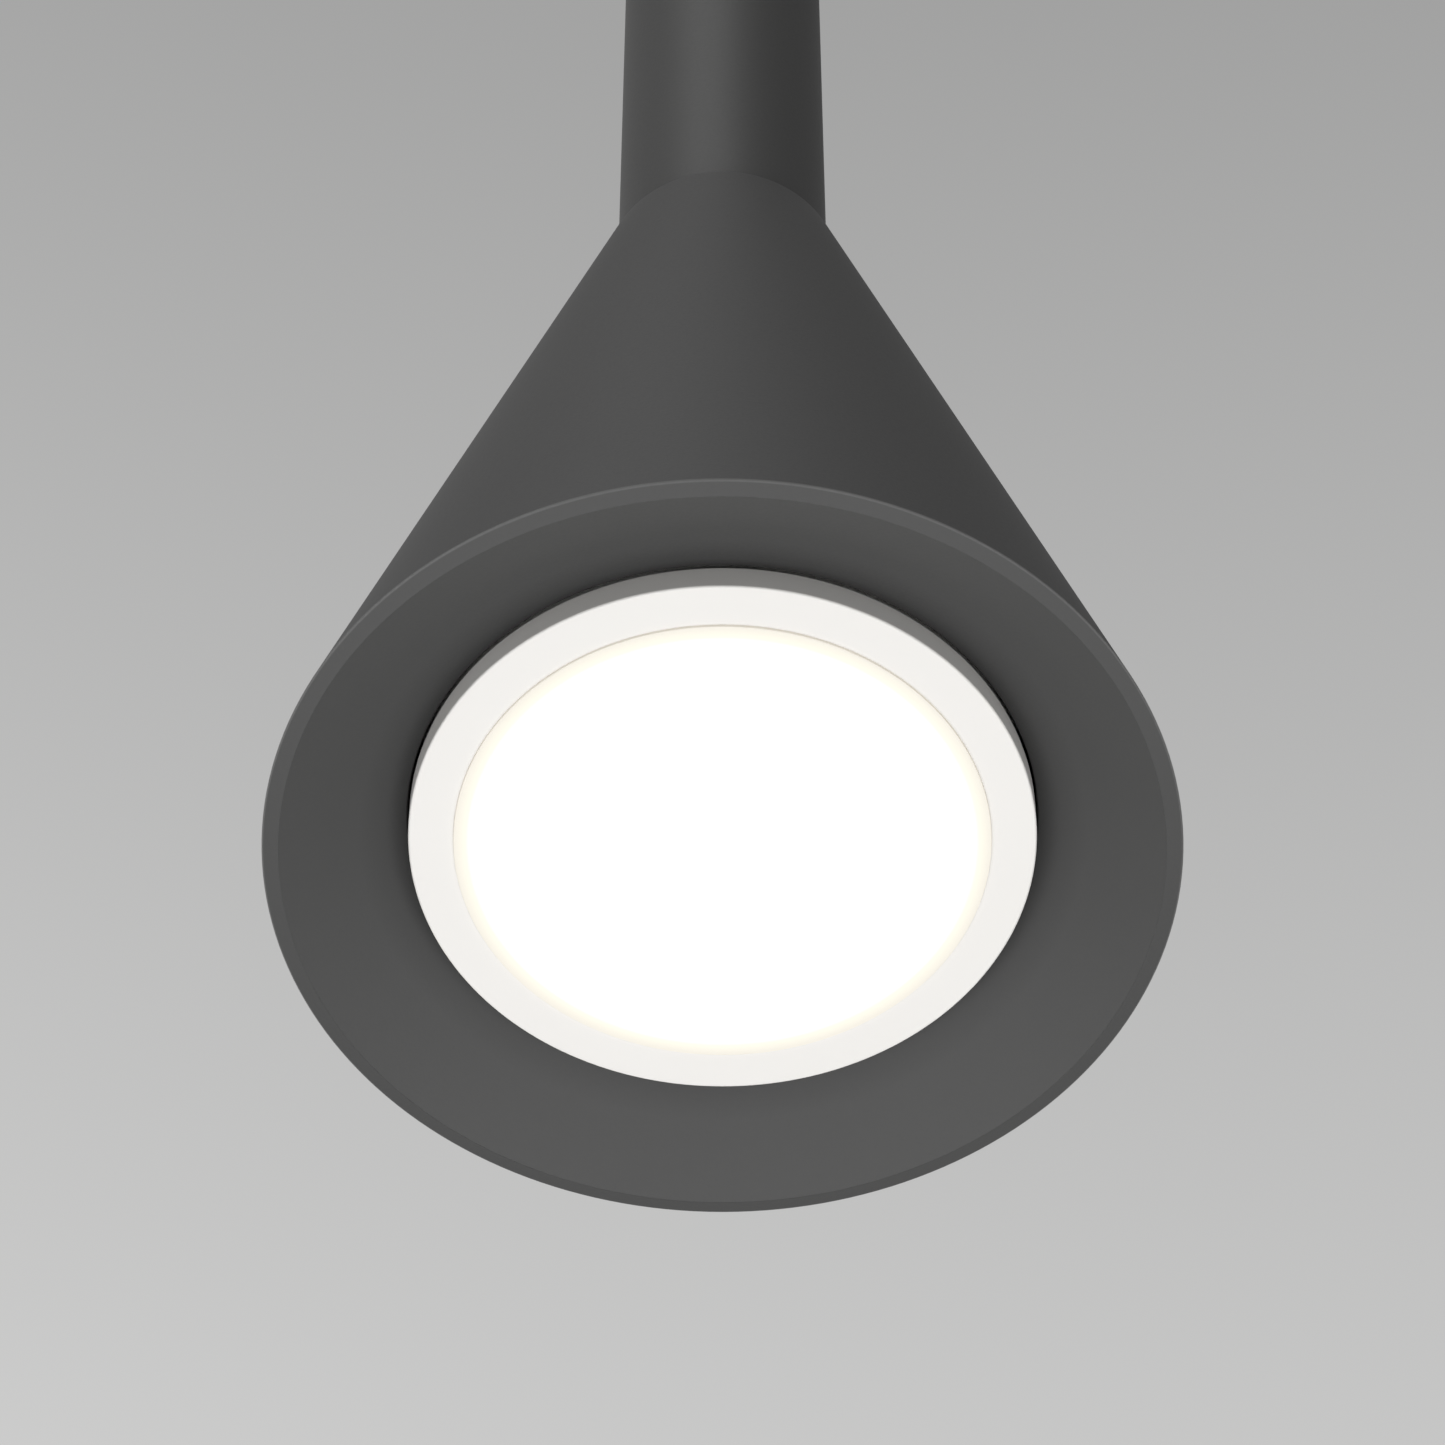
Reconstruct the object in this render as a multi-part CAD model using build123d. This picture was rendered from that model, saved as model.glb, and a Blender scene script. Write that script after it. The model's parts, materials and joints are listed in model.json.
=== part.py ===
from build123d import *
import math
import os

# Conical downlight on a round stem. Millimetres, +Z up.
# The origin is on the ceiling, on the stem's axis, and everything hangs below it.

# Overall
DROP = 330.0  # ceiling to the lowest edge of the shade's rim
WIRE_R = 1.1
FIT_GAP = 0.02  # radial clearance of a plug or a thread
SIDE_GAP = 0.05  # radial clearance of a ring pushed over a thread
SLIDE_GAP = 0.3  # radial clearance between the stem and the canopy's hole

# Shade: a spun cone with a flat hemmed rim
RIM_R = 55.0
CONE_HEIGHT = 135.5
CONE_TOP_R = 16.3
SHADE_WALL = 1.6  # measured level, not square to the cone
RIM_BAND = 2.0
RIM_TILT = 0.35  # the band's inner edge is this much lower than its outer edge
RIM_ROUND = 0.2

# Stem and what screws into it
STEM_R = 14.55
STEM_WALL = 1.5
STEM_IN_CONE = 11.5  # how far the tube reaches down into the cone
PLUG_LENGTH = 14.0
THREAD_R = 5.0
NIPPLE_BORE_R = 3.5
NIPPLE_IN_PLUG = 12.0
LOWER_NIPPLE_OUT = 18.0
NUT_FLATS = 14.0
NUT_THICK = 4.0
NUT_REACH = 0.5  # nipple left standing out of its nut
SEAT_THICK = 8.0
WASHER_R = 10.0
WASHER_THICK = 1.0
LOCK_WASHER_R = 9.0
LOCK_WASHER_TEETH = 12
LOCK_WASHER_NOTCH_R = 0.8

# Ceiling bracket: a hat-shaped strap with two ears and a raised tab
STRAP_THICK = 1.5
STRAP_WIDTH = 20.0
STRAP_HALF = 36.5
CROWN_HALF = 18.0
CROWN_DROP = 14.0  # ceiling to the crown's underside
SLOT_SPACING = 54.0
SLOT_LENGTH = 10.0
SLOT_R = 2.25
EAR_WIDTH = 12.0
EAR_DROP = 14.0
TAB_HALF = 14.0
TAB_REACH = 31.0
TAB_LIFT = 1.5  # ceiling to the tab's upper face
WINDOW_HALF = 10.5
WINDOW_SILL = 3.0  # how far the riser stands up above the crown's underside

# Canopy
CANOPY_R = 40.0
CANOPY_DEPTH = 28.0
CANOPY_WALL = 1.2
CANOPY_ROUND = 4.0
CANOPY_SCREW_R = 1.5
CANOPY_SCREW_DROP = 8.0
CANOPY_HEAD_R = 2.75
CANOPY_HEAD_THICK = 2.0
CANOPY_TIP_GAP = 0.08
DRIVER_SLOT = 0.8

# Terminal block
BLOCK_HALF = 12.0
BLOCK_NEAR_Y = 14.5
BLOCK_DEEP = 15.0
BLOCK_HIGH = 11.0
POLE_PITCH = 8.0
POLE_BELOW_TOP = 5.5
SLEEVE_R = 2.0
SLEEVE_BORE_R = 1.3
POLE_SCREW_R = 1.25
POLE_SCREW_SPREAD = 8.0
POLE_SCREW_HEAD = 1.5
BLOCK_SCREW_R = 1.4
BLOCK_SCREW_HEAD_R = 2.6
BLOCK_SCREW_HEAD = 1.8

# Yoke
YOKE_THICK = 2.0
YOKE_WIDTH = 16.0
YOKE_INNER = 10.5  # half the clear width between its legs
FOOT_END = 24.0
EARTH_HEIGHT = 60.0  # earth screw above the rim
EARTH_Y = 3.0
EARTH_BARREL_LIFT = 0.2  # earth screw's head to the tag's barrel
EARTH_SCREW_R = 2.0
EARTH_HEAD_R = 3.4
EARTH_HEAD_THICK = 2.4
EARTH_SCREW_OUT = 2.0  # how far the earth screw stands out of the leg
TAG_R = 3.6
TAG_THICK = 0.8
BARREL_LENGTH = 5.0
BARREL_WALL = 0.55

# Pan: shallow dish, round well and roof in one spun piece
PAN_WALL = 1.0
PAN_GAP = 0.03
PAN_EDGE_HEIGHT = 0.05
DISH_TOP_HEIGHT = 8.0
WELL_GAP = 0.25  # lamp flange to well
HOLDER_SIDE_GAP = 0.6  # holder to well, at the least
ROOF_HEIGHT = 33.4  # roof's underside above the rim
GROMMET_R = 5.0
GROMMET_BORE_R = 3.0
GROMMET_FLANGE = 1.5
GROMMET_LIP = 1.0
PAN_SCREW_X = 18.0
PAN_SCREW_R = 2.0
PAN_HEAD_R = 3.4
PAN_HEAD_THICK = 2.4
PAN_SCREW_LENGTH = 5.0

# Lampholder
HOLDER_R = 36.5
HOLDER_HOLE_R = 22.0
HOLDER_WALL = 1.8
HOLDER_FLOOR = 2.0
HOLDER_TOP_GAP = 0.3  # lamp's back to the holder's floor
COVER_THICK = 2.0
PIN_CIRCLE_R = 26.5
TWIST = 20.0
PIN_R = 1.45
PIN_HEAD_R = 2.4
PIN_HEAD_THICK = 2.0
KEYHOLE_PLAY = 0.4
BOSS_X = 29.25
BOSS_R = 3.6
HOLDER_SCREW_R = 1.5
HOLDER_HEAD_R = 2.8
HOLDER_HEAD_THICK = 2.5
HOLDER_SCREW_OUT = 4.0
HOLDER_NUT_FLATS = 5.5
HOLDER_NUT_THICK = 2.4
HOLE_PLAY = 0.2
CONTACT_HALF = 5.0
CONTACT_THICK = 0.5
CONTACT_Y = 24.0
CONTACT_REACH = 10.2
CONTACT_GAP = 0.3
SHELF_HALF = 4.0
SHELF_Y = 30.2
RIVET_Y = 32.3
RIVET_R = 1.2
RIVET_HEAD_R = 1.9
RIVET_HEAD = 0.6
WIRE_NOTCH_HALF = 4.0
NOTCH_OVERRUN = 1.0  # how far the notch's cut runs on into open air

# Puck lamp
LAMP_R = 37.7
LAMP_FACE_HEIGHT = 4.1
LAMP_THICK = 16.0
HUB_R = 21.0
HUB_HIGH = 8.0
LAMP_WALL = 1.5
RING_FACE_THICK = 1.8
RING_BACK = 3.95  # depth of the ring piece, face to seam
RING_WALL = 2.5
HOUSING_IN = 1.0  # how far the housing is set in behind the ring
PLATE_BACK = 7.9  # face to the back of the heat plate
RING_FACE_WIDTH = 5.45  # lamp side to diffuser
DIFFUSER_GAP = 0.05
DIFFUSER_PROUD = 0.35
DIFFUSER_THICK = 1.5
DIFFUSER_LIP_IN = 3.2  # lamp side to the outside of the diffuser's lip
DIFFUSER_LIP_WALL = 1.3
BOARD_THICK = 1.6
HEAT_PLATE_THICK = 1.4
LED_SIZE = 3.0
LED_THICK = 0.8
LED_CIRCLES = ((23.7, 8), (11.7, 16))  # each circle's distance in from the lamp's side, and its count
DRIVER_LENGTH = 50.0
DRIVER_WIDTH = 22.0
DRIVER_THICK = 1.2
CAPACITOR_R = 5.0
CAPACITOR_HIGH = 7.4
CAPACITOR_ROUND = 0.8
COIL_CORE_R = 2.5
COIL_R = 4.5
COIL_HIGH = 6.6
COIL_FLANGE = 1.0
PART_X = 8.0

# Levels along the axis, worked out from the sizes above
RIM_Z = -DROP
CONE_BASE_Z = RIM_Z + RIM_TILT + RIM_ROUND
CONE_TOP_Z = RIM_Z + CONE_HEIGHT
CONE_SLOPE = (RIM_R - CONE_TOP_R) / (CONE_TOP_Z - CONE_BASE_Z)
RIM_INNER_R = RIM_R - RIM_BAND
STEM_END_Z = CONE_TOP_Z - STEM_IN_CONE
SEAT_LOW_Z = STEM_END_Z - SEAT_THICK
YOKE_LOW_Z = SEAT_LOW_Z - YOKE_THICK
LOWER_WASHER_Z = YOKE_LOW_Z - WASHER_THICK
ROOF_Z = RIM_Z + ROOF_HEIGHT
ROOF_TOP_Z = ROOF_Z + PAN_WALL
CROWN_Z = -CROWN_DROP
CROWN_TOP_Z = CROWN_Z + STRAP_THICK
STEM_TOP_Z = CROWN_Z - WASHER_THICK
STEM_BORE_R = STEM_R - STEM_WALL
WELL_R = max(LAMP_R + WELL_GAP, HOLDER_R + HOLDER_SIDE_GAP)
TAB_TOP_Z = -TAB_LIFT
TAB_LOW_Z = TAB_TOP_Z - STRAP_THICK
POLE_Z = TAB_LOW_Z - POLE_BELOW_TOP
BLOCK_LOW_Z = TAB_LOW_Z - BLOCK_HIGH
BLOCK_MID_Y = BLOCK_NEAR_Y + BLOCK_DEEP / 2
LAMP_FACE_Z = RIM_Z + LAMP_FACE_HEIGHT
LAMP_BACK_Z = LAMP_FACE_Z + LAMP_THICK
RING_SEAM_Z = LAMP_FACE_Z + RING_BACK
HUB_TOP_Z = LAMP_BACK_Z + HUB_HIGH
HOLDER_Z = LAMP_BACK_Z + HOLDER_TOP_GAP
HOLDER_FLOOR_Z = HOLDER_Z + HOLDER_FLOOR
COVER_Z = ROOF_Z - COVER_THICK
PIN_HEAD_Z = HOLDER_FLOOR_Z + CONTACT_GAP
CONTACT_Z = PIN_HEAD_Z + PIN_HEAD_THICK + CONTACT_GAP
EARTH_Z = RIM_Z + EARTH_HEIGHT
UPPER_NUT_Z = CROWN_TOP_Z
UPPER_NIPPLE_TOP_Z = UPPER_NUT_Z + NUT_THICK + NUT_REACH
HOUSING_R = LAMP_R - HOUSING_IN
HEAT_PLATE_TOP_Z = LAMP_FACE_Z + PLATE_BACK
HEAT_PLATE_Z = HEAT_PLATE_TOP_Z - HEAT_PLATE_THICK
LED_BOARD_Z = HEAT_PLATE_Z - BOARD_THICK
DIFFUSER_R = LAMP_R - RING_FACE_WIDTH
DIFFUSER_LIP_R = LAMP_R - DIFFUSER_LIP_IN
DIFFUSER_LIP_BORE_R = DIFFUSER_LIP_R - DIFFUSER_LIP_WALL

# Wires: their places inside the hollow nipples, and the levels where they turn
MAIN_WIRE_X = 1.3
MAIN_WIRE_Y = -0.75
EARTH_WIRE_Y = 1.5
WIRE_CREST_Z = -3.2
WIRE_STRIP_Y = 3.5  # length of a wire inside its terminal
WIRE_LEAD_Y = 1.5  # straight stretch in front of a terminal
LEAD_LIFT = 1.9  # lamp's hub to the middle of the wires above it
LEAD_Z = HUB_TOP_Z + LEAD_LIFT
TOP_BEND = 4.0
LEAD_BEND = 3.5
EARTH_BEND = 8.0

UPWARD = (Align.CENTER, Align.CENTER, Align.MIN)


def disc(radius, low, high, x=0.0, y=0.0):
    """Round disc or post between two levels."""
    return Pos(x, y, low) * Cylinder(radius, high - low, align=UPWARD)


def ring(outer_r, inner_r, low, high, x=0.0, y=0.0):
    """Flat ring or tube between two levels."""
    return disc(outer_r, low, high, x, y) - disc(inner_r, low, high, x, y)


def slab(x_low, x_high, y_low, y_high, z_low, z_high):
    """Square-edged plate or bar from its lowest corner to its highest."""
    size = (x_high - x_low, y_high - y_low, z_high - z_low)
    return Pos(x_low, y_low, z_low) * Box(*size, align=(Align.MIN,) * 3)


def turned(profile):
    """Body of revolution about the axis from points of radius and level."""
    points = [(radius, 0.0, level) for radius, level in profile]
    return revolve(make_face(Polyline(*points, close=True)), Axis.Z)


def sector(inner_r, outer_r, low, high, start, arc):
    """Part of a ring, from one angle through an arc in degrees."""
    corners = [(inner_r, 0, low), (outer_r, 0, low), (outer_r, 0, high), (inner_r, 0, high)]
    face = make_face(Polyline(*corners, close=True))
    return Rot(0, 0, start) * revolve(face, Axis.Z, arc)


def hexagon(flats, low, high, x=0.0, y=0.0):
    """Six-sided nut blank between two levels."""
    outline = RegularPolygon(flats / 2, 6, major_radius=False)
    return Pos(x, y, low) * extrude(outline, high - low)


def across(radius, x_low, x_high, y=0.0, z=0.0):
    """Round bar that lies along X."""
    bar = Cylinder(radius, x_high - x_low, align=UPWARD)
    return Pos(x_low, y, z) * Rot(0, 90, 0) * bar


def along(radius, y_low, y_high, x=0.0, z=0.0):
    """Round bar that lies along Y."""
    bar = Cylinder(radius, y_high - y_low, align=UPWARD)
    return Pos(x, y_low, z) * Rot(-90, 0, 0) * bar


def save(node, *solids):
    """Write one node, made of one solid or of several alike."""
    shape = solids[0] if len(solids) == 1 else Compound(list(solids))
    export_step(shape, f"parts/{node}.step")


def shade_outer_r(z):
    """Radius of the cone's outer face at a level."""
    return RIM_R - (z - CONE_BASE_Z) * CONE_SLOPE


def shade_inner_r(z):
    """Radius of the cone's inner face at a level."""
    return shade_outer_r(z) - SHADE_WALL


# ---- Shade, stem and what joins them ----


def shade():
    hem_top = CONE_BASE_Z + (RIM_BAND - SHADE_WALL) / CONE_SLOPE
    profile = [
        (RIM_INNER_R, RIM_Z),
        (RIM_R - RIM_ROUND, RIM_Z + RIM_TILT),
        (RIM_R, CONE_BASE_Z),
        (CONE_TOP_R, CONE_TOP_Z),
        (CONE_TOP_R - SHADE_WALL, CONE_TOP_Z),
        (RIM_INNER_R, hem_top),
    ]
    return turned(profile)


def stem():
    return ring(STEM_R, STEM_BORE_R, STEM_END_Z, STEM_TOP_Z)


def plug(low):
    return ring(STEM_BORE_R - FIT_GAP, THREAD_R + FIT_GAP, low, low + PLUG_LENGTH)


def nipple(low, high):
    return ring(THREAD_R, NIPPLE_BORE_R, low, high)


def nut(low):
    bore = disc(THREAD_R + FIT_GAP, low, low + NUT_THICK)
    return hexagon(NUT_FLATS, low, low + NUT_THICK) - bore


def shade_seat():
    """Turned ring inside the cone: the shade hangs on its sloping side."""
    profile = [
        (THREAD_R + SIDE_GAP, SEAT_LOW_Z),
        (shade_inner_r(SEAT_LOW_Z) - SIDE_GAP, SEAT_LOW_Z),
        (shade_inner_r(STEM_END_Z) - SIDE_GAP, STEM_END_Z),
        (THREAD_R + SIDE_GAP, STEM_END_Z),
    ]
    return turned(profile)


def lower_washer():
    return ring(WASHER_R, THREAD_R + SIDE_GAP, LOWER_WASHER_Z, YOKE_LOW_Z)


def lock_washer():
    """Washer with a toothed outer edge, between the crown and the stem."""
    washer = ring(LOCK_WASHER_R, THREAD_R + SIDE_GAP, STEM_TOP_Z, CROWN_Z)
    for tooth in range(LOCK_WASHER_TEETH):
        angle = 360 * tooth / LOCK_WASHER_TEETH
        notch = disc(LOCK_WASHER_NOTCH_R, STEM_TOP_Z, CROWN_Z, x=LOCK_WASHER_R)
        washer -= Rot(0, 0, angle) * notch
    return washer


# ---- Ceiling end ----


def ceiling_bracket():
    half_width = STRAP_WIDTH / 2
    body = slab(-CROWN_HALF, CROWN_HALF, -half_width, half_width, CROWN_Z, CROWN_TOP_Z)
    for side in (-1, 1):
        riser = sorted((side * (CROWN_HALF - STRAP_THICK), side * CROWN_HALF))
        pad = sorted((side * (CROWN_HALF - STRAP_THICK), side * STRAP_HALF))
        ear = sorted((side * (STRAP_HALF - STRAP_THICK), side * STRAP_HALF))
        body += slab(*riser, -half_width, half_width, CROWN_Z, 0)
        body += slab(*pad, -half_width, half_width, -STRAP_THICK, 0)
        body += slab(*ear, -EAR_WIDTH / 2, EAR_WIDTH / 2, -EAR_DROP, 0)
        end = SLOT_LENGTH / 2 - SLOT_R
        middle = side * SLOT_SPACING / 2
        body -= slab(middle - end, middle + end, -SLOT_R, SLOT_R, -STRAP_THICK, 0)
        body -= disc(SLOT_R, -STRAP_THICK, 0, x=middle - end)
        body -= disc(SLOT_R, -STRAP_THICK, 0, x=middle + end)
    riser_y = half_width + STRAP_THICK
    body += slab(-TAB_HALF, TAB_HALF, half_width, riser_y, CROWN_Z, TAB_TOP_Z)
    body += slab(-TAB_HALF, TAB_HALF, half_width, TAB_REACH, TAB_LOW_Z, TAB_TOP_Z)
    sill = CROWN_Z + WINDOW_SILL
    body -= slab(-WINDOW_HALF, WINDOW_HALF, half_width, riser_y, sill, TAB_LOW_Z)
    body -= disc(THREAD_R + SIDE_GAP, CROWN_Z, CROWN_TOP_Z)
    body -= disc(BLOCK_SCREW_R, TAB_LOW_Z, TAB_TOP_Z, x=-POLE_PITCH / 2, y=BLOCK_MID_Y)
    return body


def canopy():
    body = disc(CANOPY_R, -CANOPY_DEPTH, 0)
    body = fillet(body.edges().group_by(Axis.Z)[0], CANOPY_ROUND)
    hollow = disc(CANOPY_R - CANOPY_WALL, CANOPY_WALL - CANOPY_DEPTH, 0)
    hollow = fillet(hollow.edges().group_by(Axis.Z)[0], CANOPY_ROUND - CANOPY_WALL)
    body -= hollow
    body -= disc(STEM_R + SLIDE_GAP, -CANOPY_DEPTH, CANOPY_WALL - CANOPY_DEPTH)
    screw_hole = across(CANOPY_SCREW_R, -CANOPY_R, CANOPY_R, z=-CANOPY_SCREW_DROP)
    return body - screw_hole


def canopy_screw():
    """Side screw, on the +X side: it pinches the bracket's ear."""
    head_x = CANOPY_R + CANOPY_HEAD_THICK
    tip_x = STRAP_HALF + CANOPY_TIP_GAP
    screw = across(CANOPY_SCREW_R, tip_x, CANOPY_R, z=-CANOPY_SCREW_DROP)
    screw += across(CANOPY_HEAD_R, CANOPY_R, head_x, z=-CANOPY_SCREW_DROP)
    half = DRIVER_SLOT / 2
    slot_z = -CANOPY_SCREW_DROP
    low_y, high_y = -CANOPY_HEAD_R, CANOPY_HEAD_R
    slot = slab(head_x - DRIVER_SLOT, head_x, low_y, high_y, slot_z - half, slot_z + half)
    return screw - slot


def poles():
    """The places of the three terminals along X."""
    return [-POLE_PITCH, 0.0, POLE_PITCH]


def pole_screw_ys():
    half = POLE_SCREW_SPREAD / 2
    return [BLOCK_MID_Y - half, BLOCK_MID_Y + half]


def terminal_block():
    far_y = BLOCK_NEAR_Y + BLOCK_DEEP
    body = slab(-BLOCK_HALF, BLOCK_HALF, BLOCK_NEAR_Y, far_y, BLOCK_LOW_Z, TAB_LOW_Z)
    for x in poles():
        body -= along(SLEEVE_R, BLOCK_NEAR_Y, far_y, x=x, z=POLE_Z)
        for y in pole_screw_ys():
            body -= disc(POLE_SCREW_R + HOLE_PLAY, BLOCK_LOW_Z, POLE_Z, x=x, y=y)
    body -= disc(BLOCK_SCREW_R + HOLE_PLAY, BLOCK_LOW_Z, TAB_LOW_Z, -POLE_PITCH / 2, BLOCK_MID_Y)
    return body


def terminal_sleeve(x):
    far_y = BLOCK_NEAR_Y + BLOCK_DEEP
    body = along(SLEEVE_R, BLOCK_NEAR_Y, far_y, x=x, z=POLE_Z)
    body -= along(SLEEVE_BORE_R, BLOCK_NEAR_Y, far_y, x=x, z=POLE_Z)
    for y in pole_screw_ys():
        body -= disc(POLE_SCREW_R, BLOCK_LOW_Z, POLE_Z, x=x, y=y)
    return body


def terminal_screw(x, y):
    tip_z = POLE_Z - WIRE_R
    head_z = BLOCK_LOW_Z + POLE_SCREW_HEAD
    screw = disc(POLE_SCREW_R, head_z, tip_z, x=x, y=y)
    half = DRIVER_SLOT / 2
    low_x, high_x = x - POLE_SCREW_R, x + POLE_SCREW_R
    return screw - slab(low_x, high_x, y - half, y + half, head_z, head_z + DRIVER_SLOT)


def block_screw():
    x = -POLE_PITCH / 2
    screw = disc(BLOCK_SCREW_R, BLOCK_LOW_Z, TAB_TOP_Z, x=x, y=BLOCK_MID_Y)
    head_z = BLOCK_LOW_Z - BLOCK_SCREW_HEAD
    screw += disc(BLOCK_SCREW_HEAD_R, head_z, BLOCK_LOW_Z, x=x, y=BLOCK_MID_Y)
    return screw


# ---- Yoke and pan ----


def yoke():
    """U-shaped strap: it hangs from the nipple and carries the pan on its feet."""
    outer = YOKE_INNER + YOKE_THICK
    half_width = YOKE_WIDTH / 2
    body = slab(-outer, outer, -half_width, half_width, YOKE_LOW_Z, SEAT_LOW_Z)
    foot_top = ROOF_TOP_Z + YOKE_THICK
    for side in (-1, 1):
        leg = sorted((side * YOKE_INNER, side * outer))
        foot = sorted((side * YOKE_INNER, side * FOOT_END))
        body += slab(*leg, -half_width, half_width, ROOF_TOP_Z, SEAT_LOW_Z)
        body += slab(*foot, -half_width, half_width, ROOF_TOP_Z, foot_top)
        body -= disc(PAN_SCREW_R, ROOF_TOP_Z, foot_top, x=side * PAN_SCREW_X)
    body -= disc(THREAD_R + SIDE_GAP, YOKE_LOW_Z, SEAT_LOW_Z)
    return body - across(EARTH_SCREW_R, YOKE_INNER, outer, EARTH_Y, EARTH_Z)


def pan():
    edge_r = RIM_INNER_R - PAN_GAP
    edge_z = RIM_Z + PAN_EDGE_HEIGHT
    dish_z = RIM_Z + DISH_TOP_HEIGHT
    slope = (dish_z - edge_z) / (edge_r - WELL_R)
    upright = PAN_WALL * math.hypot(1, slope)  # the sloping wall measured upright
    well_outer_r = WELL_R + PAN_WALL
    profile = [
        (edge_r, edge_z),
        (WELL_R, dish_z),
        (WELL_R, ROOF_Z),
        (GROMMET_R, ROOF_Z),
        (GROMMET_R, ROOF_TOP_Z),
        (well_outer_r, ROOF_TOP_Z),
        (well_outer_r, dish_z - PAN_WALL * slope + upright),
        (edge_r, edge_z + upright),
    ]
    body = turned(profile)
    for side in (-1, 1):
        body -= disc(PAN_SCREW_R + HOLE_PLAY, ROOF_Z, ROOF_TOP_Z, x=side * PAN_SCREW_X)
        body -= disc(HOLDER_SCREW_R + HOLE_PLAY, ROOF_Z, ROOF_TOP_Z, x=side * BOSS_X)
    return body


def pan_screw(side):
    x = side * PAN_SCREW_X
    screw = disc(PAN_SCREW_R, ROOF_Z, ROOF_Z + PAN_SCREW_LENGTH, x=x)
    head_low = ROOF_Z - PAN_HEAD_THICK
    screw += disc(PAN_HEAD_R, head_low, ROOF_Z, x=x)
    half = DRIVER_SLOT / 2
    low_x, high_x = x - PAN_HEAD_R, x + PAN_HEAD_R
    return screw - slab(low_x, high_x, -half, half, head_low, head_low + DRIVER_SLOT)


def grommet():
    flange_r = GROMMET_R + GROMMET_FLANGE
    low, high = ROOF_Z - GROMMET_LIP, ROOF_TOP_Z + GROMMET_LIP
    body = disc(flange_r, low, ROOF_Z) + disc(flange_r, ROOF_TOP_Z, high)
    body += disc(GROMMET_R, ROOF_Z, ROOF_TOP_Z)
    return body - disc(GROMMET_BORE_R, low, high)


def earth_barrel():
    """Radius of the tag's barrel, its place along X, and its lower end."""
    barrel_r = WIRE_R + FIT_GAP + BARREL_WALL
    return barrel_r, YOKE_INNER - barrel_r, EARTH_Z + EARTH_HEAD_R + EARTH_BARREL_LIFT


def earth_tag():
    """Ring tag on the yoke's leg, with a barrel for the wire above it."""
    low_x = YOKE_INNER - TAG_THICK
    barrel_r, barrel_x, foot = earth_barrel()
    top = foot + BARREL_LENGTH
    tag = across(TAG_R, low_x, YOKE_INNER, EARTH_Y, EARTH_Z)
    tag += slab(low_x, YOKE_INNER, EARTH_Y - barrel_r, EARTH_Y + barrel_r, EARTH_Z, top)
    tag += disc(barrel_r, foot, top, barrel_x, EARTH_Y)
    tag -= disc(WIRE_R + FIT_GAP, foot, top, barrel_x, EARTH_Y)
    return tag - across(EARTH_SCREW_R, low_x, YOKE_INNER, EARTH_Y, EARTH_Z)


def earth_screw():
    head_x = YOKE_INNER - TAG_THICK
    slot_x = head_x - EARTH_HEAD_THICK
    tip_x = YOKE_INNER + YOKE_THICK + EARTH_SCREW_OUT
    screw = across(EARTH_SCREW_R, head_x, tip_x, EARTH_Y, EARTH_Z)
    screw += across(EARTH_HEAD_R, slot_x, head_x, EARTH_Y, EARTH_Z)
    half = DRIVER_SLOT / 2
    low_y, high_y = EARTH_Y - EARTH_HEAD_R, EARTH_Y + EARTH_HEAD_R
    return screw - slab(slot_x, slot_x + DRIVER_SLOT, low_y, high_y, EARTH_Z - half, EARTH_Z + half)


# ---- Lampholder ----


def keyhole(locked_angle):
    """Entry hole and curved slot in the holder's floor, for one pin."""
    entry_angle = math.radians(locked_angle - TWIST)
    entry_x = PIN_CIRCLE_R * math.cos(entry_angle)
    entry_y = PIN_CIRCLE_R * math.sin(entry_angle)
    lock_x = PIN_CIRCLE_R * math.cos(math.radians(locked_angle))
    lock_y = PIN_CIRCLE_R * math.sin(math.radians(locked_angle))
    half = PIN_R + KEYHOLE_PLAY
    low, high = HOLDER_Z, HOLDER_FLOOR_Z
    inner_r, outer_r = PIN_CIRCLE_R - half, PIN_CIRCLE_R + half
    cut = disc(PIN_HEAD_R + KEYHOLE_PLAY, low, high, entry_x, entry_y)
    cut += disc(half, low, high, lock_x, lock_y)
    return cut + sector(inner_r, outer_r, low, high, locked_angle - TWIST, TWIST)


def holder_body():
    body = ring(HOLDER_R, HOLDER_HOLE_R, HOLDER_Z, COVER_Z)
    chamber_outer, chamber_inner = HOLDER_R - HOLDER_WALL, HOLDER_HOLE_R + HOLDER_WALL
    body -= ring(chamber_outer, chamber_inner, HOLDER_FLOOR_Z, COVER_Z)
    half = SHELF_HALF
    for side in (-1, 1):
        shelf = sorted((side * SHELF_Y, side * (chamber_outer + HOLDER_WALL / 2)))
        body += slab(-half, half, *shelf, HOLDER_FLOOR_Z, CONTACT_Z)
        body -= disc(RIVET_R, HOLDER_FLOOR_Z, CONTACT_Z, y=side * RIVET_Y)
        notch_low, notch_high = HOLDER_HOLE_R - NOTCH_OVERRUN, chamber_inner + NOTCH_OVERRUN
        notch = sorted((side * notch_low, side * notch_high))
        notch_z = LEAD_Z - WIRE_R - HOLE_PLAY
        body -= slab(-WIRE_NOTCH_HALF, WIRE_NOTCH_HALF, *notch, notch_z, COVER_Z)
        body += disc(BOSS_R, HOLDER_Z, COVER_Z, x=side * BOSS_X)
        body -= disc(HOLDER_SCREW_R + HOLE_PLAY, HOLDER_Z, COVER_Z, x=side * BOSS_X)
        head_top = HOLDER_Z + CONTACT_GAP + HOLDER_HEAD_THICK
        body -= disc(HOLDER_HEAD_R + HOLE_PLAY, HOLDER_Z, head_top, x=side * BOSS_X)
        body -= keyhole(side * 90)
    return body


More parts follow.
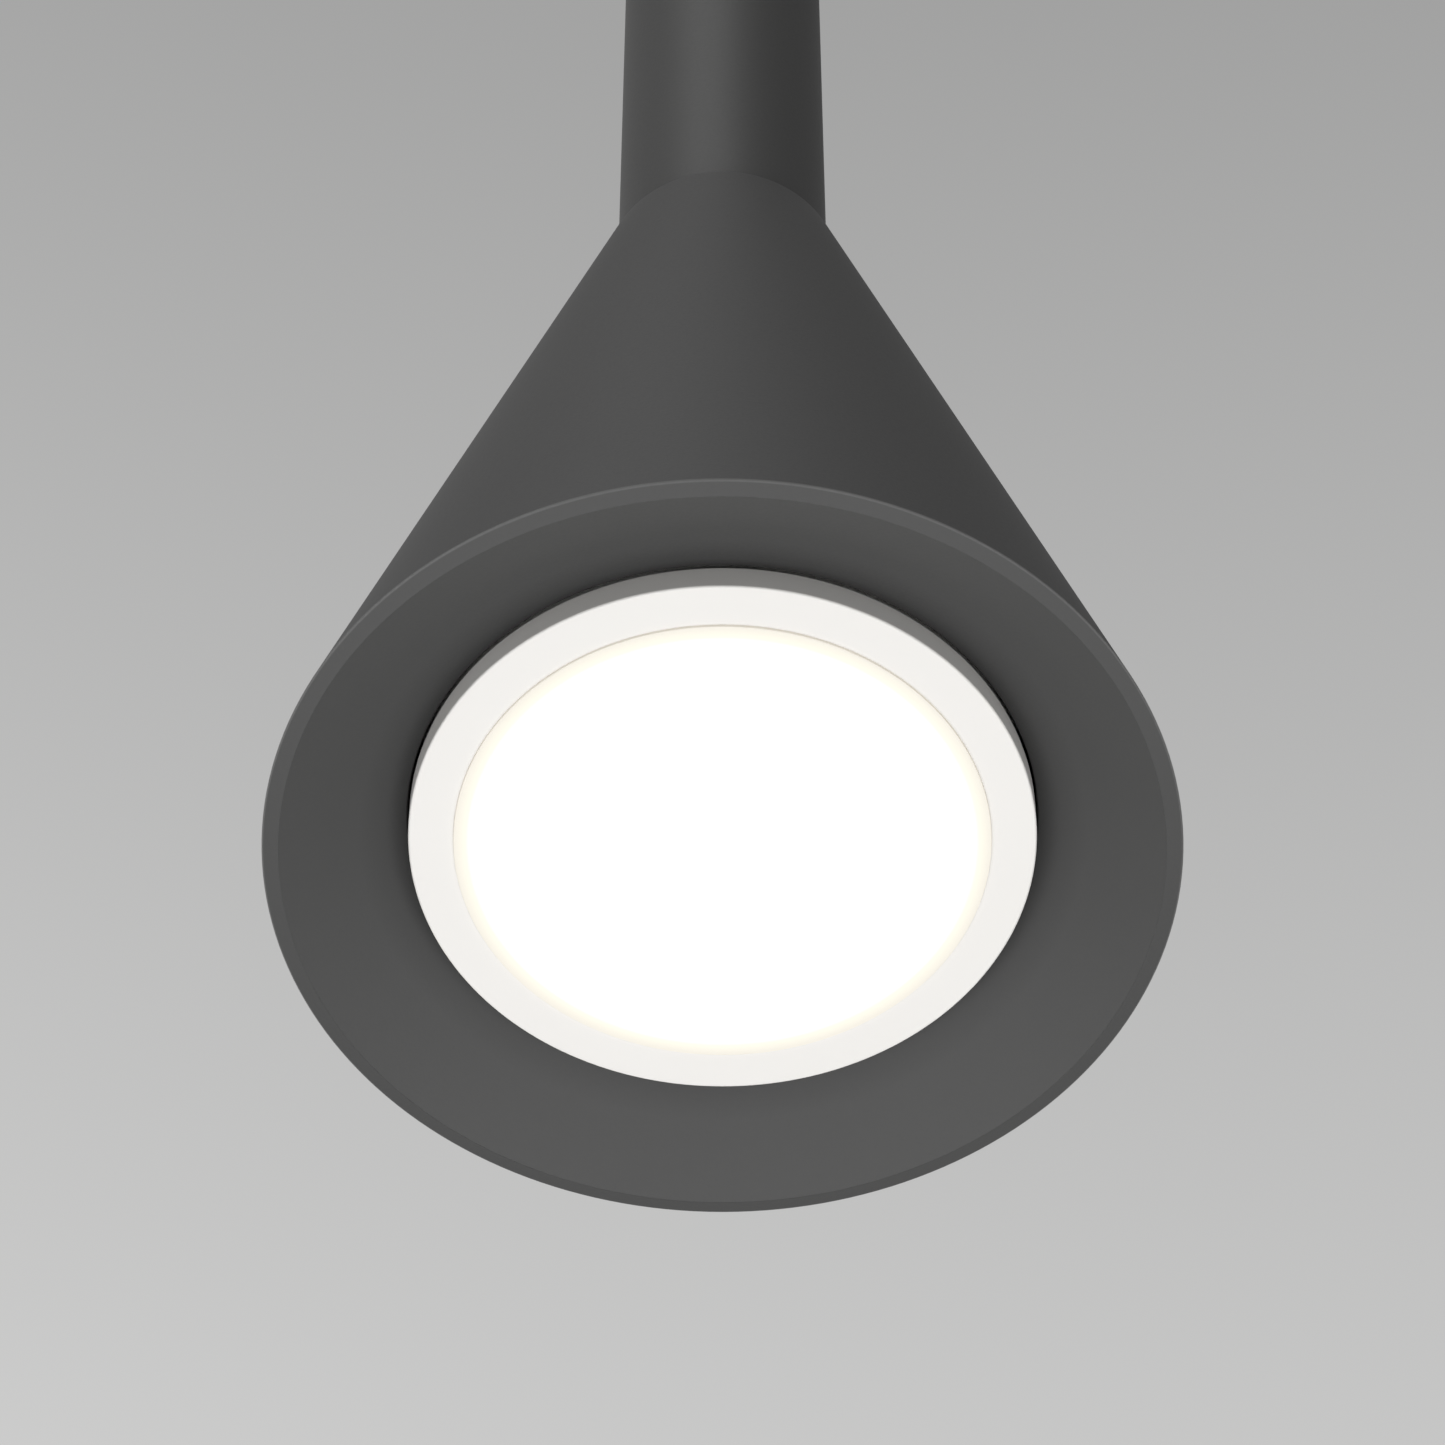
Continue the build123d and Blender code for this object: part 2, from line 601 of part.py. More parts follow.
def holder_cover():
    body = ring(HOLDER_R, HOLDER_HOLE_R, COVER_Z, ROOF_Z)
    for side in (-1, 1):
        body -= disc(HOLDER_SCREW_R + HOLE_PLAY, COVER_Z, ROOF_Z, x=side * BOSS_X)
    return body


def holder_screw(side):
    x = side * BOSS_X
    head_z = HOLDER_Z + CONTACT_GAP
    shank_z = head_z + HOLDER_HEAD_THICK
    screw = disc(HOLDER_HEAD_R, head_z, shank_z, x=x)
    screw += disc(HOLDER_SCREW_R, shank_z, ROOF_TOP_Z + HOLDER_SCREW_OUT, x=x)
    half = DRIVER_SLOT / 2
    low_x, high_x = x - HOLDER_HEAD_R, x + HOLDER_HEAD_R
    return screw - slab(low_x, high_x, -half, half, head_z, head_z + DRIVER_SLOT)


def holder_nut(side):
    low, high = ROOF_TOP_Z, ROOF_TOP_Z + HOLDER_NUT_THICK
    blank = hexagon(HOLDER_NUT_FLATS, low, high, x=side * BOSS_X)
    return blank - disc(HOLDER_SCREW_R + FIT_GAP, low, high, x=side * BOSS_X)


def contact(side):
    """Spring strip above one keyhole, with an upright tab for the wire."""
    half = CONTACT_HALF
    plate = sorted((side * CONTACT_Y, side * (CONTACT_Y + CONTACT_REACH)))
    tab = sorted((side * CONTACT_Y, side * (CONTACT_Y + CONTACT_THICK)))
    strip = slab(-half, half, *plate, CONTACT_Z, CONTACT_Z + CONTACT_THICK)
    strip += slab(-half, half, *tab, CONTACT_Z, COVER_Z)
    return strip - disc(RIVET_R, CONTACT_Z, CONTACT_Z + CONTACT_THICK, y=side * RIVET_Y)


def contact_rivet(side):
    top = CONTACT_Z + CONTACT_THICK
    rivet = disc(RIVET_R, HOLDER_FLOOR_Z, top, y=side * RIVET_Y)
    return rivet + disc(RIVET_HEAD_R, top, top + RIVET_HEAD, y=side * RIVET_Y)


# ---- Puck lamp ----


def lamp_ring():
    """Front ring and the side that shows below the dish."""
    wall_r = LAMP_R - RING_WALL
    opening_r = DIFFUSER_R + DIFFUSER_GAP
    profile = [
        (opening_r, LAMP_FACE_Z),
        (LAMP_R, LAMP_FACE_Z),
        (LAMP_R, RING_SEAM_Z),
        (wall_r, RING_SEAM_Z),
        (wall_r, LAMP_FACE_Z + RING_FACE_THICK),
        (opening_r, LAMP_FACE_Z + RING_FACE_THICK),
    ]
    return turned(profile)


def lamp_housing():
    """Back part of the puck, a little narrower than its ring, with its hub."""
    hub_bore_r = HUB_R - LAMP_WALL
    back_low = LAMP_BACK_Z - LAMP_WALL
    profile = [
        (HOUSING_R - LAMP_WALL, RING_SEAM_Z),
        (HOUSING_R, RING_SEAM_Z),
        (HOUSING_R, LAMP_BACK_Z),
        (HUB_R, LAMP_BACK_Z),
        (HUB_R, HUB_TOP_Z),
        (0.0, HUB_TOP_Z),
        (0.0, HUB_TOP_Z - LAMP_WALL),
        (hub_bore_r, HUB_TOP_Z - LAMP_WALL),
        (hub_bore_r, back_low),
        (HOUSING_R - LAMP_WALL, back_low),
    ]
    body = turned(profile)
    for side in (-1, 1):
        body -= disc(PIN_R, back_low, LAMP_BACK_Z, y=side * PIN_CIRCLE_R)
    return body


def lamp_diffuser():
    face_z = LAMP_FACE_Z - DIFFUSER_PROUD
    back_z = face_z + DIFFUSER_THICK
    lip_z = LAMP_FACE_Z + RING_FACE_THICK
    inner_r = DIFFUSER_R - DIFFUSER_THICK
    profile = [
        (0.0, face_z),
        (DIFFUSER_R, face_z),
        (DIFFUSER_R, lip_z),
        (DIFFUSER_LIP_R, lip_z),
        (DIFFUSER_LIP_R, LED_BOARD_Z),
        (DIFFUSER_LIP_BORE_R, LED_BOARD_Z),
        (DIFFUSER_LIP_BORE_R, lip_z + DIFFUSER_THICK),
        (inner_r, lip_z + DIFFUSER_THICK),
        (inner_r, back_z),
        (0.0, back_z),
    ]
    return turned(profile)


def lamp_heat_plate():
    return disc(HOUSING_R - LAMP_WALL - SIDE_GAP, HEAT_PLATE_Z, HEAT_PLATE_TOP_Z)


def lamp_led_board():
    return disc(DIFFUSER_LIP_R, LED_BOARD_Z, HEAT_PLATE_Z)


def lamp_leds():
    """Square LED packages on two circles, under the board."""
    packages = []
    half = LED_SIZE / 2
    low, high = LED_BOARD_Z - LED_THICK, LED_BOARD_Z
    for inset, count in LED_CIRCLES:
        circle_r = LAMP_R - inset
        package = slab(circle_r - half, circle_r + half, -half, half, low, high)
        packages += [Rot(0, 0, 360 * place / count) * package for place in range(count)]
    return packages


def lamp_driver_board():
    top = LAMP_BACK_Z - LAMP_WALL
    half_x, half_y = DRIVER_LENGTH / 2, DRIVER_WIDTH / 2
    return slab(-half_x, half_x, -half_y, half_y, top - DRIVER_THICK, top)


def driver_capacitor():
    low = LAMP_BACK_Z - LAMP_WALL
    can = disc(CAPACITOR_R, low, low + CAPACITOR_HIGH, x=-PART_X)
    return fillet(can.edges().group_by(Axis.Z)[-1], CAPACITOR_ROUND)


def driver_coil():
    low = LAMP_BACK_Z - LAMP_WALL
    high = low + COIL_HIGH
    coil = disc(COIL_CORE_R, low, high, x=PART_X)
    coil += disc(COIL_R, low, low + COIL_FLANGE, x=PART_X)
    return coil + disc(COIL_R, high - COIL_FLANGE, high, x=PART_X)


def lamp_pin(side):
    """Mushroom-headed contact pin on the lamp's back."""
    y = side * PIN_CIRCLE_R
    back_low = LAMP_BACK_Z - LAMP_WALL
    pin = disc(PIN_R, back_low - LAMP_WALL, PIN_HEAD_Z, y=y)
    pin += disc(PIN_HEAD_R, PIN_HEAD_Z, PIN_HEAD_Z + PIN_HEAD_THICK, y=y)
    return pin + disc(PIN_HEAD_R, back_low - LAMP_WALL, back_low, y=y)


# ---- Wires, held inside the fitting all the way ----


def wire(points, radii):
    """Round wire along straight runs joined by arcs."""
    path = FilletPolyline(*points, radius=radii)
    start = Plane(origin=path @ 0, z_dir=path % 0)
    body = sweep(start * Circle(WIRE_R), path=path)
    share = body.volume / (math.pi * WIRE_R**2 * path.length)
    print("wire length", round(path.length, 1), "volume share", round(share, 4), "radii", radii)
    return body


def feed(side):
    """First points of a wire: out of its terminal, over the nut, into the nipple."""
    wire_y = MAIN_WIRE_Y if side else EARTH_WIRE_Y
    x = side * POLE_PITCH
    start = (x, BLOCK_NEAR_Y + WIRE_STRIP_Y, POLE_Z)
    lead = (x, BLOCK_NEAR_Y - WIRE_LEAD_Y, POLE_Z)
    crest = (side * MAIN_WIRE_X, wire_y, WIRE_CREST_Z)
    return [start, lead, crest]


def main_wire(side):
    """Live or neutral wire, from the terminal block to the lampholder."""
    x = side * MAIN_WIRE_X
    turn = (x, MAIN_WIRE_Y, LEAD_Z)
    end = (x, -side * CONTACT_Y, LEAD_Z)
    return wire([*feed(side), turn, end], [TOP_BEND, TOP_BEND, LEAD_BEND])


def earth_wire():
    """Earth wire, from the terminal block to the tag on the yoke."""
    _, barrel_x, foot = earth_barrel()
    low_corner = (barrel_x, EARTH_Y, foot + BARREL_LENGTH + 2 * EARTH_BEND)
    high_corner = (0.0, EARTH_WIRE_Y, low_corner[2] + 2 * EARTH_BEND)
    points = [*feed(0), high_corner, low_corner, (barrel_x, EARTH_Y, foot)]
    return wire(points, [TOP_BEND, TOP_BEND, EARTH_BEND, EARTH_BEND])


os.makedirs("parts", exist_ok=True)

save("shade", shade())
save("stem", stem())
save("upper_plug", plug(STEM_TOP_Z - PLUG_LENGTH))
save("lower_plug", plug(STEM_END_Z))
save("upper_nipple", nipple(STEM_TOP_Z - NIPPLE_IN_PLUG, UPPER_NIPPLE_TOP_Z))
save("lower_nipple", nipple(STEM_END_Z - LOWER_NIPPLE_OUT, STEM_END_Z + NIPPLE_IN_PLUG))
save("upper_nut", nut(UPPER_NUT_Z))
save("lower_nut", nut(LOWER_WASHER_Z - NUT_THICK))
save("lock_washer", lock_washer())
save("lower_washer", lower_washer())
save("shade_seat", shade_seat())

save("ceiling_bracket", ceiling_bracket())
save("canopy", canopy())
save("canopy_screws", canopy_screw(), Rot(0, 0, 180) * canopy_screw())
save("terminal_block", terminal_block())
save("terminal_sleeves", *[terminal_sleeve(x) for x in poles()])
save("terminal_screws", *[terminal_screw(x, y) for x in poles() for y in pole_screw_ys()])
save("block_screw", block_screw())

save("yoke", yoke())
save("pan", pan())
save("pan_screws", pan_screw(-1), pan_screw(1))
save("grommet", grommet())
save("earth_tag", earth_tag())
save("earth_screw", earth_screw())

save("holder_body", holder_body())
save("holder_cover", holder_cover())
save("holder_screws", holder_screw(-1), holder_screw(1))
save("holder_nuts", holder_nut(-1), holder_nut(1))
save("contact_live", contact(1))
save("contact_neutral", contact(-1))
save("contact_rivets", contact_rivet(-1), contact_rivet(1))

save("lamp_ring", lamp_ring())
save("lamp_housing", lamp_housing())
save("lamp_diffuser", lamp_diffuser())
save("lamp_heat_plate", lamp_heat_plate())
save("lamp_led_board", lamp_led_board())
save("lamp_leds", *lamp_leds())
save("lamp_driver_board", lamp_driver_board())
save("driver_capacitor", driver_capacitor())
save("driver_coil", driver_coil())
save("lamp_pins", lamp_pin(-1), lamp_pin(1))

save("live_wire", main_wire(-1))
save("neutral_wire", main_wire(1))
save("earth_wire", earth_wire())
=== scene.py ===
# %% [markdown]
# # A conical downlight, dressed around its CAD frame
# The frame brings every part at its true size and place. This lesson models the parts that the eye meets
# again with rounded edges and finer detail, gives every part a finish, and lights the whole. All lengths
# are in metres, so the helper `mm` keeps the small numbers readable.

import bmesh
import bpy
import json
import math
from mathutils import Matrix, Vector


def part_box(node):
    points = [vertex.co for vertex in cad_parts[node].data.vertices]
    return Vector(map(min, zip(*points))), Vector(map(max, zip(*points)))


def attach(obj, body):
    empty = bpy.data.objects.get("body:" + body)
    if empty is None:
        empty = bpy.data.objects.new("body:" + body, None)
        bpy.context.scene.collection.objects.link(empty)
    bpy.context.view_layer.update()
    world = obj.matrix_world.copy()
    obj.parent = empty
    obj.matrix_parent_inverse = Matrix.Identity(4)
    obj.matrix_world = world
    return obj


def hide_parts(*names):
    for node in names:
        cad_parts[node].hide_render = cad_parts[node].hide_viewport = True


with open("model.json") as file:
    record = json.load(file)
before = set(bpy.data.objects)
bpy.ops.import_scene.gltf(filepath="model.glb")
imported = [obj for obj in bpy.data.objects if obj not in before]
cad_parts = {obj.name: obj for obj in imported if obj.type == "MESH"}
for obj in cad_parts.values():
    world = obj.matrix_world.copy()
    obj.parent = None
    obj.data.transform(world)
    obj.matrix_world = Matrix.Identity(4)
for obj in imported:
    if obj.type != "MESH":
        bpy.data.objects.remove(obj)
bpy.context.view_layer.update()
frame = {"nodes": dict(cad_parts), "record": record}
nodes = frame["nodes"]


def mm(length):
    return length / 1000


# %% [markdown]
# ## Sizes read from the frame
# A new shell has to land exactly where its CAD part is, so the heights and radii come from the boxes of the
# CAD nodes. Only what a box can't tell, such as a wall or a rounding, is given here.

# %% Sizes
BOX_PLAY = mm(0.03)  # a turned circle reaches past the flats of the CAD mesh
FLOAT_PLAY = mm(0.001)
rim_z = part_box("shade")[0].z + FLOAT_PLAY
cone_top_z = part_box("shade")[1].z
rim_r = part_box("shade")[1].x - BOX_PLAY
stem_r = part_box("stem")[1].x
stem_low_z, stem_top_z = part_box("stem")[0].z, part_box("stem")[1].z
canopy_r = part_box("canopy")[1].x
canopy_low_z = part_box("canopy")[0].z
lamp_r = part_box("lamp_ring")[1].x
lamp_face_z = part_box("lamp_ring")[0].z
lamp_seam_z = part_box("lamp_ring")[1].z
opal_face_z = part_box("lamp_diffuser")[0].z
opal_back_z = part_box("lamp_diffuser")[1].z
pan_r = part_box("pan")[1].x
pan_roof_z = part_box("pan")[1].z
STEPS = 192  # how many flats stand in for a full circle
print("rim radius", round(rim_r * 1000, 2), "mm, lamp radius", round(lamp_r * 1000, 2), "mm")

# %% [markdown]
# ## Camera
# The viewer stands in front of the light and well below it, and looks up into the shade with a long lens.
# A long lens keeps the cone's sides straight and the rim a calm ellipse. The camera's place is measured
# from the rim, so it would follow the light if the stem were longer.

# %% Camera
VIEW_BACK = mm(402.4)
VIEW_BELOW = mm(524.25)
VIEW_PITCH = 53.976  # degrees above the horizon
LENS = 137.97

bpy.ops.object.select_all(action="DESELECT")
bpy.ops.object.camera_add(
    location=(0, -VIEW_BACK, rim_z - VIEW_BELOW),
    rotation=(math.radians(90 + VIEW_PITCH), 0, 0),
)
camera = bpy.context.object
camera.data.sensor_width = 36
camera.data.lens = LENS
camera.data.clip_start = mm(10)
bpy.context.scene.camera = camera
print("camera", [round(value, 4) for value in camera.location])

# %% [markdown]
# ## Surroundings and light
# A product studio is mostly one big soft surface. Here the sky itself is that surface: a gradient that is
# darker overhead and paler towards the floor, and a little darker on the right than on the left. A dark,
# nearly matt coat shows form only by how much light each side gets. A wide panel low down lights the mouth
# of the shade, and a weak one low behind lifts its near side a little. One from the left models the cone,
# and one high in front draws a soft line down the tube. The panels are hidden from the camera, so that they
# never show in the picture themselves.

# %% World
world = bpy.data.worlds.new("studio")
bpy.context.scene.world = world
world.use_nodes = True
sky = world.node_tree
sky.nodes.clear()
direction = sky.nodes.new("ShaderNodeTexCoord")
split = sky.nodes.new("ShaderNodeSeparateXYZ")
ramp = sky.nodes.new("ShaderNodeMapRange")
ramp.inputs["From Min"].default_value = -1
ramp.inputs["From Max"].default_value = 1
tones = sky.nodes.new("ShaderNodeValToRGB")
background = sky.nodes.new("ShaderNodeBackground")
out = sky.nodes.new("ShaderNodeOutputWorld")
sky.links.new(direction.outputs["Generated"], split.inputs[0])
sky.links.new(split.outputs["Z"], ramp.inputs["Value"])
sky.links.new(ramp.outputs["Result"], tones.inputs["Fac"])
sky.links.new(tones.outputs["Color"], background.inputs["Color"])
across_place = sky.nodes.new("ShaderNodeMapRange")
across_place.inputs["From Min"].default_value = -1
across_place.inputs["From Max"].default_value = 1
across_tones = sky.nodes.new("ShaderNodeValToRGB")
sky.links.new(split.outputs["X"], across_place.inputs["Value"])
sky.links.new(across_place.outputs["Result"], across_tones.inputs["Fac"])
sky.links.new(across_tones.outputs["Color"], background.inputs["Strength"])
sky.links.new(background.outputs[0], out.inputs[0])


def height(degrees):
    """Place on the ramp of a direction so many degrees above the horizon."""
    return (math.sin(math.radians(degrees)) + 1) / 2


GREYS = ((-90, 0.62), (0, 0.62), (46, 0.612), (51, 0.539), (55, 0.476), (61.5, 0.379), (90, 0.25))
stops = tones.color_ramp.elements
stops[0].position, stops[0].color = height(GREYS[0][0]), (GREYS[0][1],) * 3 + (1,)
stops[1].position, stops[1].color = height(GREYS[-1][0]), (GREYS[-1][1],) * 3 + (1,)
for angle, grey in GREYS[1:-1]:
    stop = stops.new(height(angle))
    stop.color = (grey, grey, grey * 0.995, 1)
ACROSS = ((-1, 0.95), (-0.2, 1.0), (0.0, 0.955), (0.2, 0.905), (0.45, 0.52), (1, 0.26))
across_stops = across_tones.color_ramp.elements
across_stops[0].position, across_stops[0].color = 0, (ACROSS[0][1],) * 3 + (1,)
across_stops[1].position, across_stops[1].color = 1, (ACROSS[-1][1],) * 3 + (1,)
for side, share in ACROSS[1:-1]:
    stop = across_stops.new((side + 1) / 2)
    stop.color = (share, share, share, 1)
bpy.context.scene.view_settings.view_transform = "Standard"
print("sky has", len(stops), "tones up and", len(across_stops), "across")

# %% Lights


def panel(name, place, aim, size, power):
    """A soft panel that faces a point and is hidden from the camera."""
    bpy.ops.object.select_all(action="DESELECT")
    bpy.ops.object.light_add(type="AREA", location=place)
    lamp = bpy.context.object
    lamp.name = name
    lamp.data.shape = "RECTANGLE"
    lamp.data.size, lamp.data.size_y = size
    lamp.data.energy = power
    line = lamp.location - Vector(aim)
    lamp.rotation_euler = line.to_track_quat("Z", "Y").to_euler()
    lamp.visible_camera = False
    return lamp


middle = (0, 0, rim_z * 0.7)
low = panel("low_panel", (-0.12, 0.0, -1.3), middle, (2.4, 1.2), 17.0)
low.rotation_euler = (math.pi, 0, 0)
panel("back_panel", (0.0, 1.8, -1.55), middle, (1.4, 1.0), 1.6)
panel("left_panel", (-1.4, -1.15, -0.4), middle, (1.0, 1.0), 1.75)
panel("tube_panel", (-0.36, -1.22, 1.55), middle, (1.1, 1.1), 8.4)
print("lights placed")

# %% [markdown]
# ## A pale floor
# The floor is a disc so wide that its edge is never in view. It lies well below the light, as the floor of a
# room would, and sends a little light back up into the shade's mouth.

# %% Floor
FLOOR_Z = -2.4
FLOOR_R = 60
bpy.ops.object.select_all(action="DESELECT")
bpy.ops.mesh.primitive_circle_add(vertices=96, radius=FLOOR_R, fill_type="NGON")
floor = bpy.context.object
floor.name = "floor"
floor.location.z = FLOOR_Z
print("floor radius", FLOOR_R, "m")

# %% [markdown]
# ## Turning round parts
# Most parts of this light are turned or spun on a lathe. In Blender the same is done by drawing half of the
# section, one extruded point after another, rounding its corners, and spinning it about the axis. A section
# point is written as radius, height and rounding. Its doubles are merged before the normals are made to
# agree, because the spin leaves a seam where it meets its start.

# %% The lathe


def select_none():
    if bpy.context.mode != "OBJECT":
        bpy.ops.object.mode_set(mode="OBJECT")
    bpy.ops.object.select_all(action="DESELECT")


def pick_vertex(x, y, z):
    """In edit mode, selects the one vertex that is nearest to a place."""
    mesh = bmesh.from_edit_mesh(bpy.context.object.data)
    place = Vector((x, y, z))
    for element in (*mesh.verts, *mesh.edges, *mesh.faces):
        element.select = False
    nearest = min(mesh.verts, key=lambda vertex: (vertex.co - place).length)
    nearest.select = True
    mesh.select_flush_mode()
    bmesh.update_edit_mesh(bpy.context.object.data)


def finish_mesh(angle=30):
    """Merge, face outwards, smooth what is round, and keep flat faces flat."""
    piece = bpy.context.object
    bpy.ops.object.mode_set(mode="EDIT")
    bpy.ops.mesh.select_mode(type="VERT")
    bpy.ops.mesh.select_all(action="SELECT")
    bpy.ops.mesh.remove_doubles(threshold=mm(0.004))
    bpy.ops.mesh.delete_loose()  # a section that touches the axis leaves an edge along it
    bpy.ops.mesh.select_all(action="SELECT")
    bpy.ops.mesh.normals_make_consistent(inside=False)
    bpy.ops.object.mode_set(mode="OBJECT")
    bpy.ops.object.transform_apply(location=True, rotation=True, scale=True)
    bpy.ops.object.shade_smooth_by_angle(angle=math.radians(angle))
    weighted = piece.modifiers.new("weighted", "WEIGHTED_NORMAL")
    weighted.keep_sharp = True
    bpy.ops.object.modifier_apply(modifier=weighted.name)
    return piece


def draw_section(section):
    """Draws the section as a chain of extruded points, and rounds its corners."""
    select_none()
    bpy.ops.mesh.primitive_plane_add(size=mm(1))
    bpy.ops.object.mode_set(mode="EDIT")
    bpy.ops.mesh.select_mode(type="VERT")
    bpy.ops.mesh.merge(type="CENTER")
    radius, level = section[0][:2]
    bpy.ops.transform.translate(value=(radius, 0, level))
    corners = [*section[1:], section[0]]
    for corner in corners:
        step = (corner[0] - radius, 0, corner[1] - level)
        bpy.ops.mesh.extrude_region_move(TRANSFORM_OT_translate={"value": step})
        radius, level = corner[:2]
    bpy.ops.mesh.select_all(action="SELECT")
    bpy.ops.mesh.remove_doubles(threshold=mm(0.001))
    for corner in section:
        if len(corner) > 2:
            pick_vertex(corner[0], 0, corner[1])
            bpy.ops.mesh.bevel(offset=corner[2], segments=4, affect="VERTICES")


def lathe(name, section, steps=STEPS):
    """A turned piece from its half section: (radius, height) or (radius, height, rounding)."""
    draw_section(section)
    bpy.ops.mesh.select_all(action="SELECT")
    bpy.ops.mesh.spin(steps=steps, angle=math.tau, center=(0, 0, 0), axis=(0, 0, 1))
    piece = finish_mesh()
    piece.name = name
    print(name, len(piece.data.polygons), "faces")
    return piece


# %% [markdown]
# ## The shade
# On the real light the shade is spun from a sheet of aluminium over a cone, and its mouth is hemmed to a
# flat band that tilts a little inwards. A cone primitive would have knife edges and no wall. Turning the
# full section gives the wall, the band and the small radii that catch a line of light.

# %% Shade
RIM_BAND = mm(2.0)
RIM_TILT = mm(0.35)
RIM_FLAT = mm(0.2)  # upright part of the rim, between the band and the cone
SHADE_WALL = mm(1.6)
cone_top_r = mm(16.3)
band_r = rim_r - RIM_BAND
cone_base_z = rim_z + RIM_TILT + RIM_FLAT
cone_slope = (rim_r - cone_top_r) / (cone_top_z - cone_base_z)
hem_z = cone_base_z + (RIM_BAND - SHADE_WALL) / cone_slope

shade = lathe(
    "shade_shell",
    [
        (band_r, rim_z),
        (rim_r - mm(0.05), rim_z + RIM_TILT, mm(0.18)),
        (rim_r, cone_base_z),
        (cone_top_r, cone_top_z, mm(0.3)),
        (cone_top_r - SHADE_WALL, cone_top_z, mm(0.2)),
        (band_r, hem_z),
    ],
)
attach(shade, "fitting")
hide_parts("shade")

# %% [markdown]
# ## The stem and the canopy
# The stem is a length of drawn tube with its ends deburred. The canopy is pressed from one disc of sheet, so
# its lower edge has a generous radius inside and out, and its hole leaves a little play round the stem.

# %% Stem
STEM_WALL = mm(1.5)
STEM_ROUND = mm(0.25)
stem = lathe(
    "stem_tube",
    [
        (stem_r, stem_low_z, STEM_ROUND),
        (stem_r, stem_top_z, STEM_ROUND),
        (stem_r - STEM_WALL, stem_top_z, STEM_ROUND),
        (stem_r - STEM_WALL, stem_low_z, STEM_ROUND),
    ],
)
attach(stem, "fitting")
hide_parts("stem")

# %% Canopy
CANOPY_WALL = mm(1.2)
CANOPY_ROUND = mm(4.0)
CANOPY_EDGE = mm(0.3)
STEM_PLAY = mm(0.3)
hole_r = stem_r + STEM_PLAY
canopy_floor_z = canopy_low_z + CANOPY_WALL
canopy = lathe(
    "canopy_cup",
    [
        (canopy_r, 0, CANOPY_EDGE),
        (canopy_r, canopy_low_z, CANOPY_ROUND),
        (hole_r, canopy_low_z, CANOPY_EDGE),
        (hole_r, canopy_floor_z, CANOPY_EDGE),
        (canopy_r - CANOPY_WALL, canopy_floor_z, CANOPY_ROUND - CANOPY_WALL),
        (canopy_r - CANOPY_WALL, 0, CANOPY_EDGE),
    ],
)
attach(canopy, "canopy_cup")
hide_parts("canopy")

# %% [markdown]
# ## The pan
# The pan closes the shade's mouth. It is spun from thin sheet: a shallow dish that rises from the rim, a
# straight well for the lamp, and a flat roof with a hole for the wires. Its outer edge meets the rim's band
# with hardly a gap, so the eye sees a fold there and not a slot.

# %% Pan
PAN_WALL = mm(1.0)
WELL_PLAY = mm(0.25)
DISH_HIGH = mm(8.0)
EDGE_LIFT = mm(0.02)
EDGE_PLAY = mm(0.005)
well_r = lamp_r + WELL_PLAY
grommet_r = mm(5.0)
dish_edge_z = rim_z + EDGE_LIFT
dish_edge_r = band_r - EDGE_PLAY
dish_top_z = rim_z + DISH_HIGH
dish_slope = (dish_top_z - dish_edge_z) / (dish_edge_r - well_r)
upright = PAN_WALL * math.hypot(1, dish_slope)
pan = lathe(
    "pan_dish",
    [
        (dish_edge_r, dish_edge_z),
        (well_r, dish_top_z, mm(0.2)),
        (well_r, pan_roof_z - PAN_WALL, mm(1.0)),
        (grommet_r, pan_roof_z - PAN_WALL, mm(0.2)),
        (grommet_r, pan_roof_z, mm(0.2)),
        (well_r + PAN_WALL, pan_roof_z, mm(1.6)),
        (well_r + PAN_WALL, dish_top_z - PAN_WALL * dish_slope + upright, mm(0.8)),
        (dish_edge_r, dish_edge_z + upright, mm(0.2)),
    ],
)
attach(pan, "fitting")
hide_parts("pan")

# %% [markdown]
# ## The lamp's face
# The face of the lamp is a moulded ring with an opal disc pressed into it from behind. The disc stands a
# little proud, and the seam between them is only a hair wide, because a wide seam would read as a dark line
# next to the glow. The disc has a lip at the back that the ring holds down.

# %% Lamp ring
RING_WALL = mm(2.5)
RING_FACE = mm(1.8)
RING_FACE_WIDTH = mm(5.45)
SEAM_PLAY = mm(0.015)
SEAM_ROUND = mm(0.05)
opal_r = lamp_r - RING_FACE_WIDTH
opening_r = opal_r + SEAM_PLAY
ring = lathe(
    "lamp_face_ring",
    [
        (opening_r, lamp_face_z, SEAM_ROUND),
        (lamp_r, lamp_face_z, mm(0.3)),
        (lamp_r, lamp_seam_z, mm(0.25)),
        (lamp_r - RING_WALL, lamp_seam_z, mm(0.15)),
        (lamp_r - RING_WALL, lamp_face_z + RING_FACE, mm(0.3)),
        (opening_r, lamp_face_z + RING_FACE, mm(0.2)),
    ],
)
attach(ring, "puck_lamp")
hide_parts("lamp_ring")

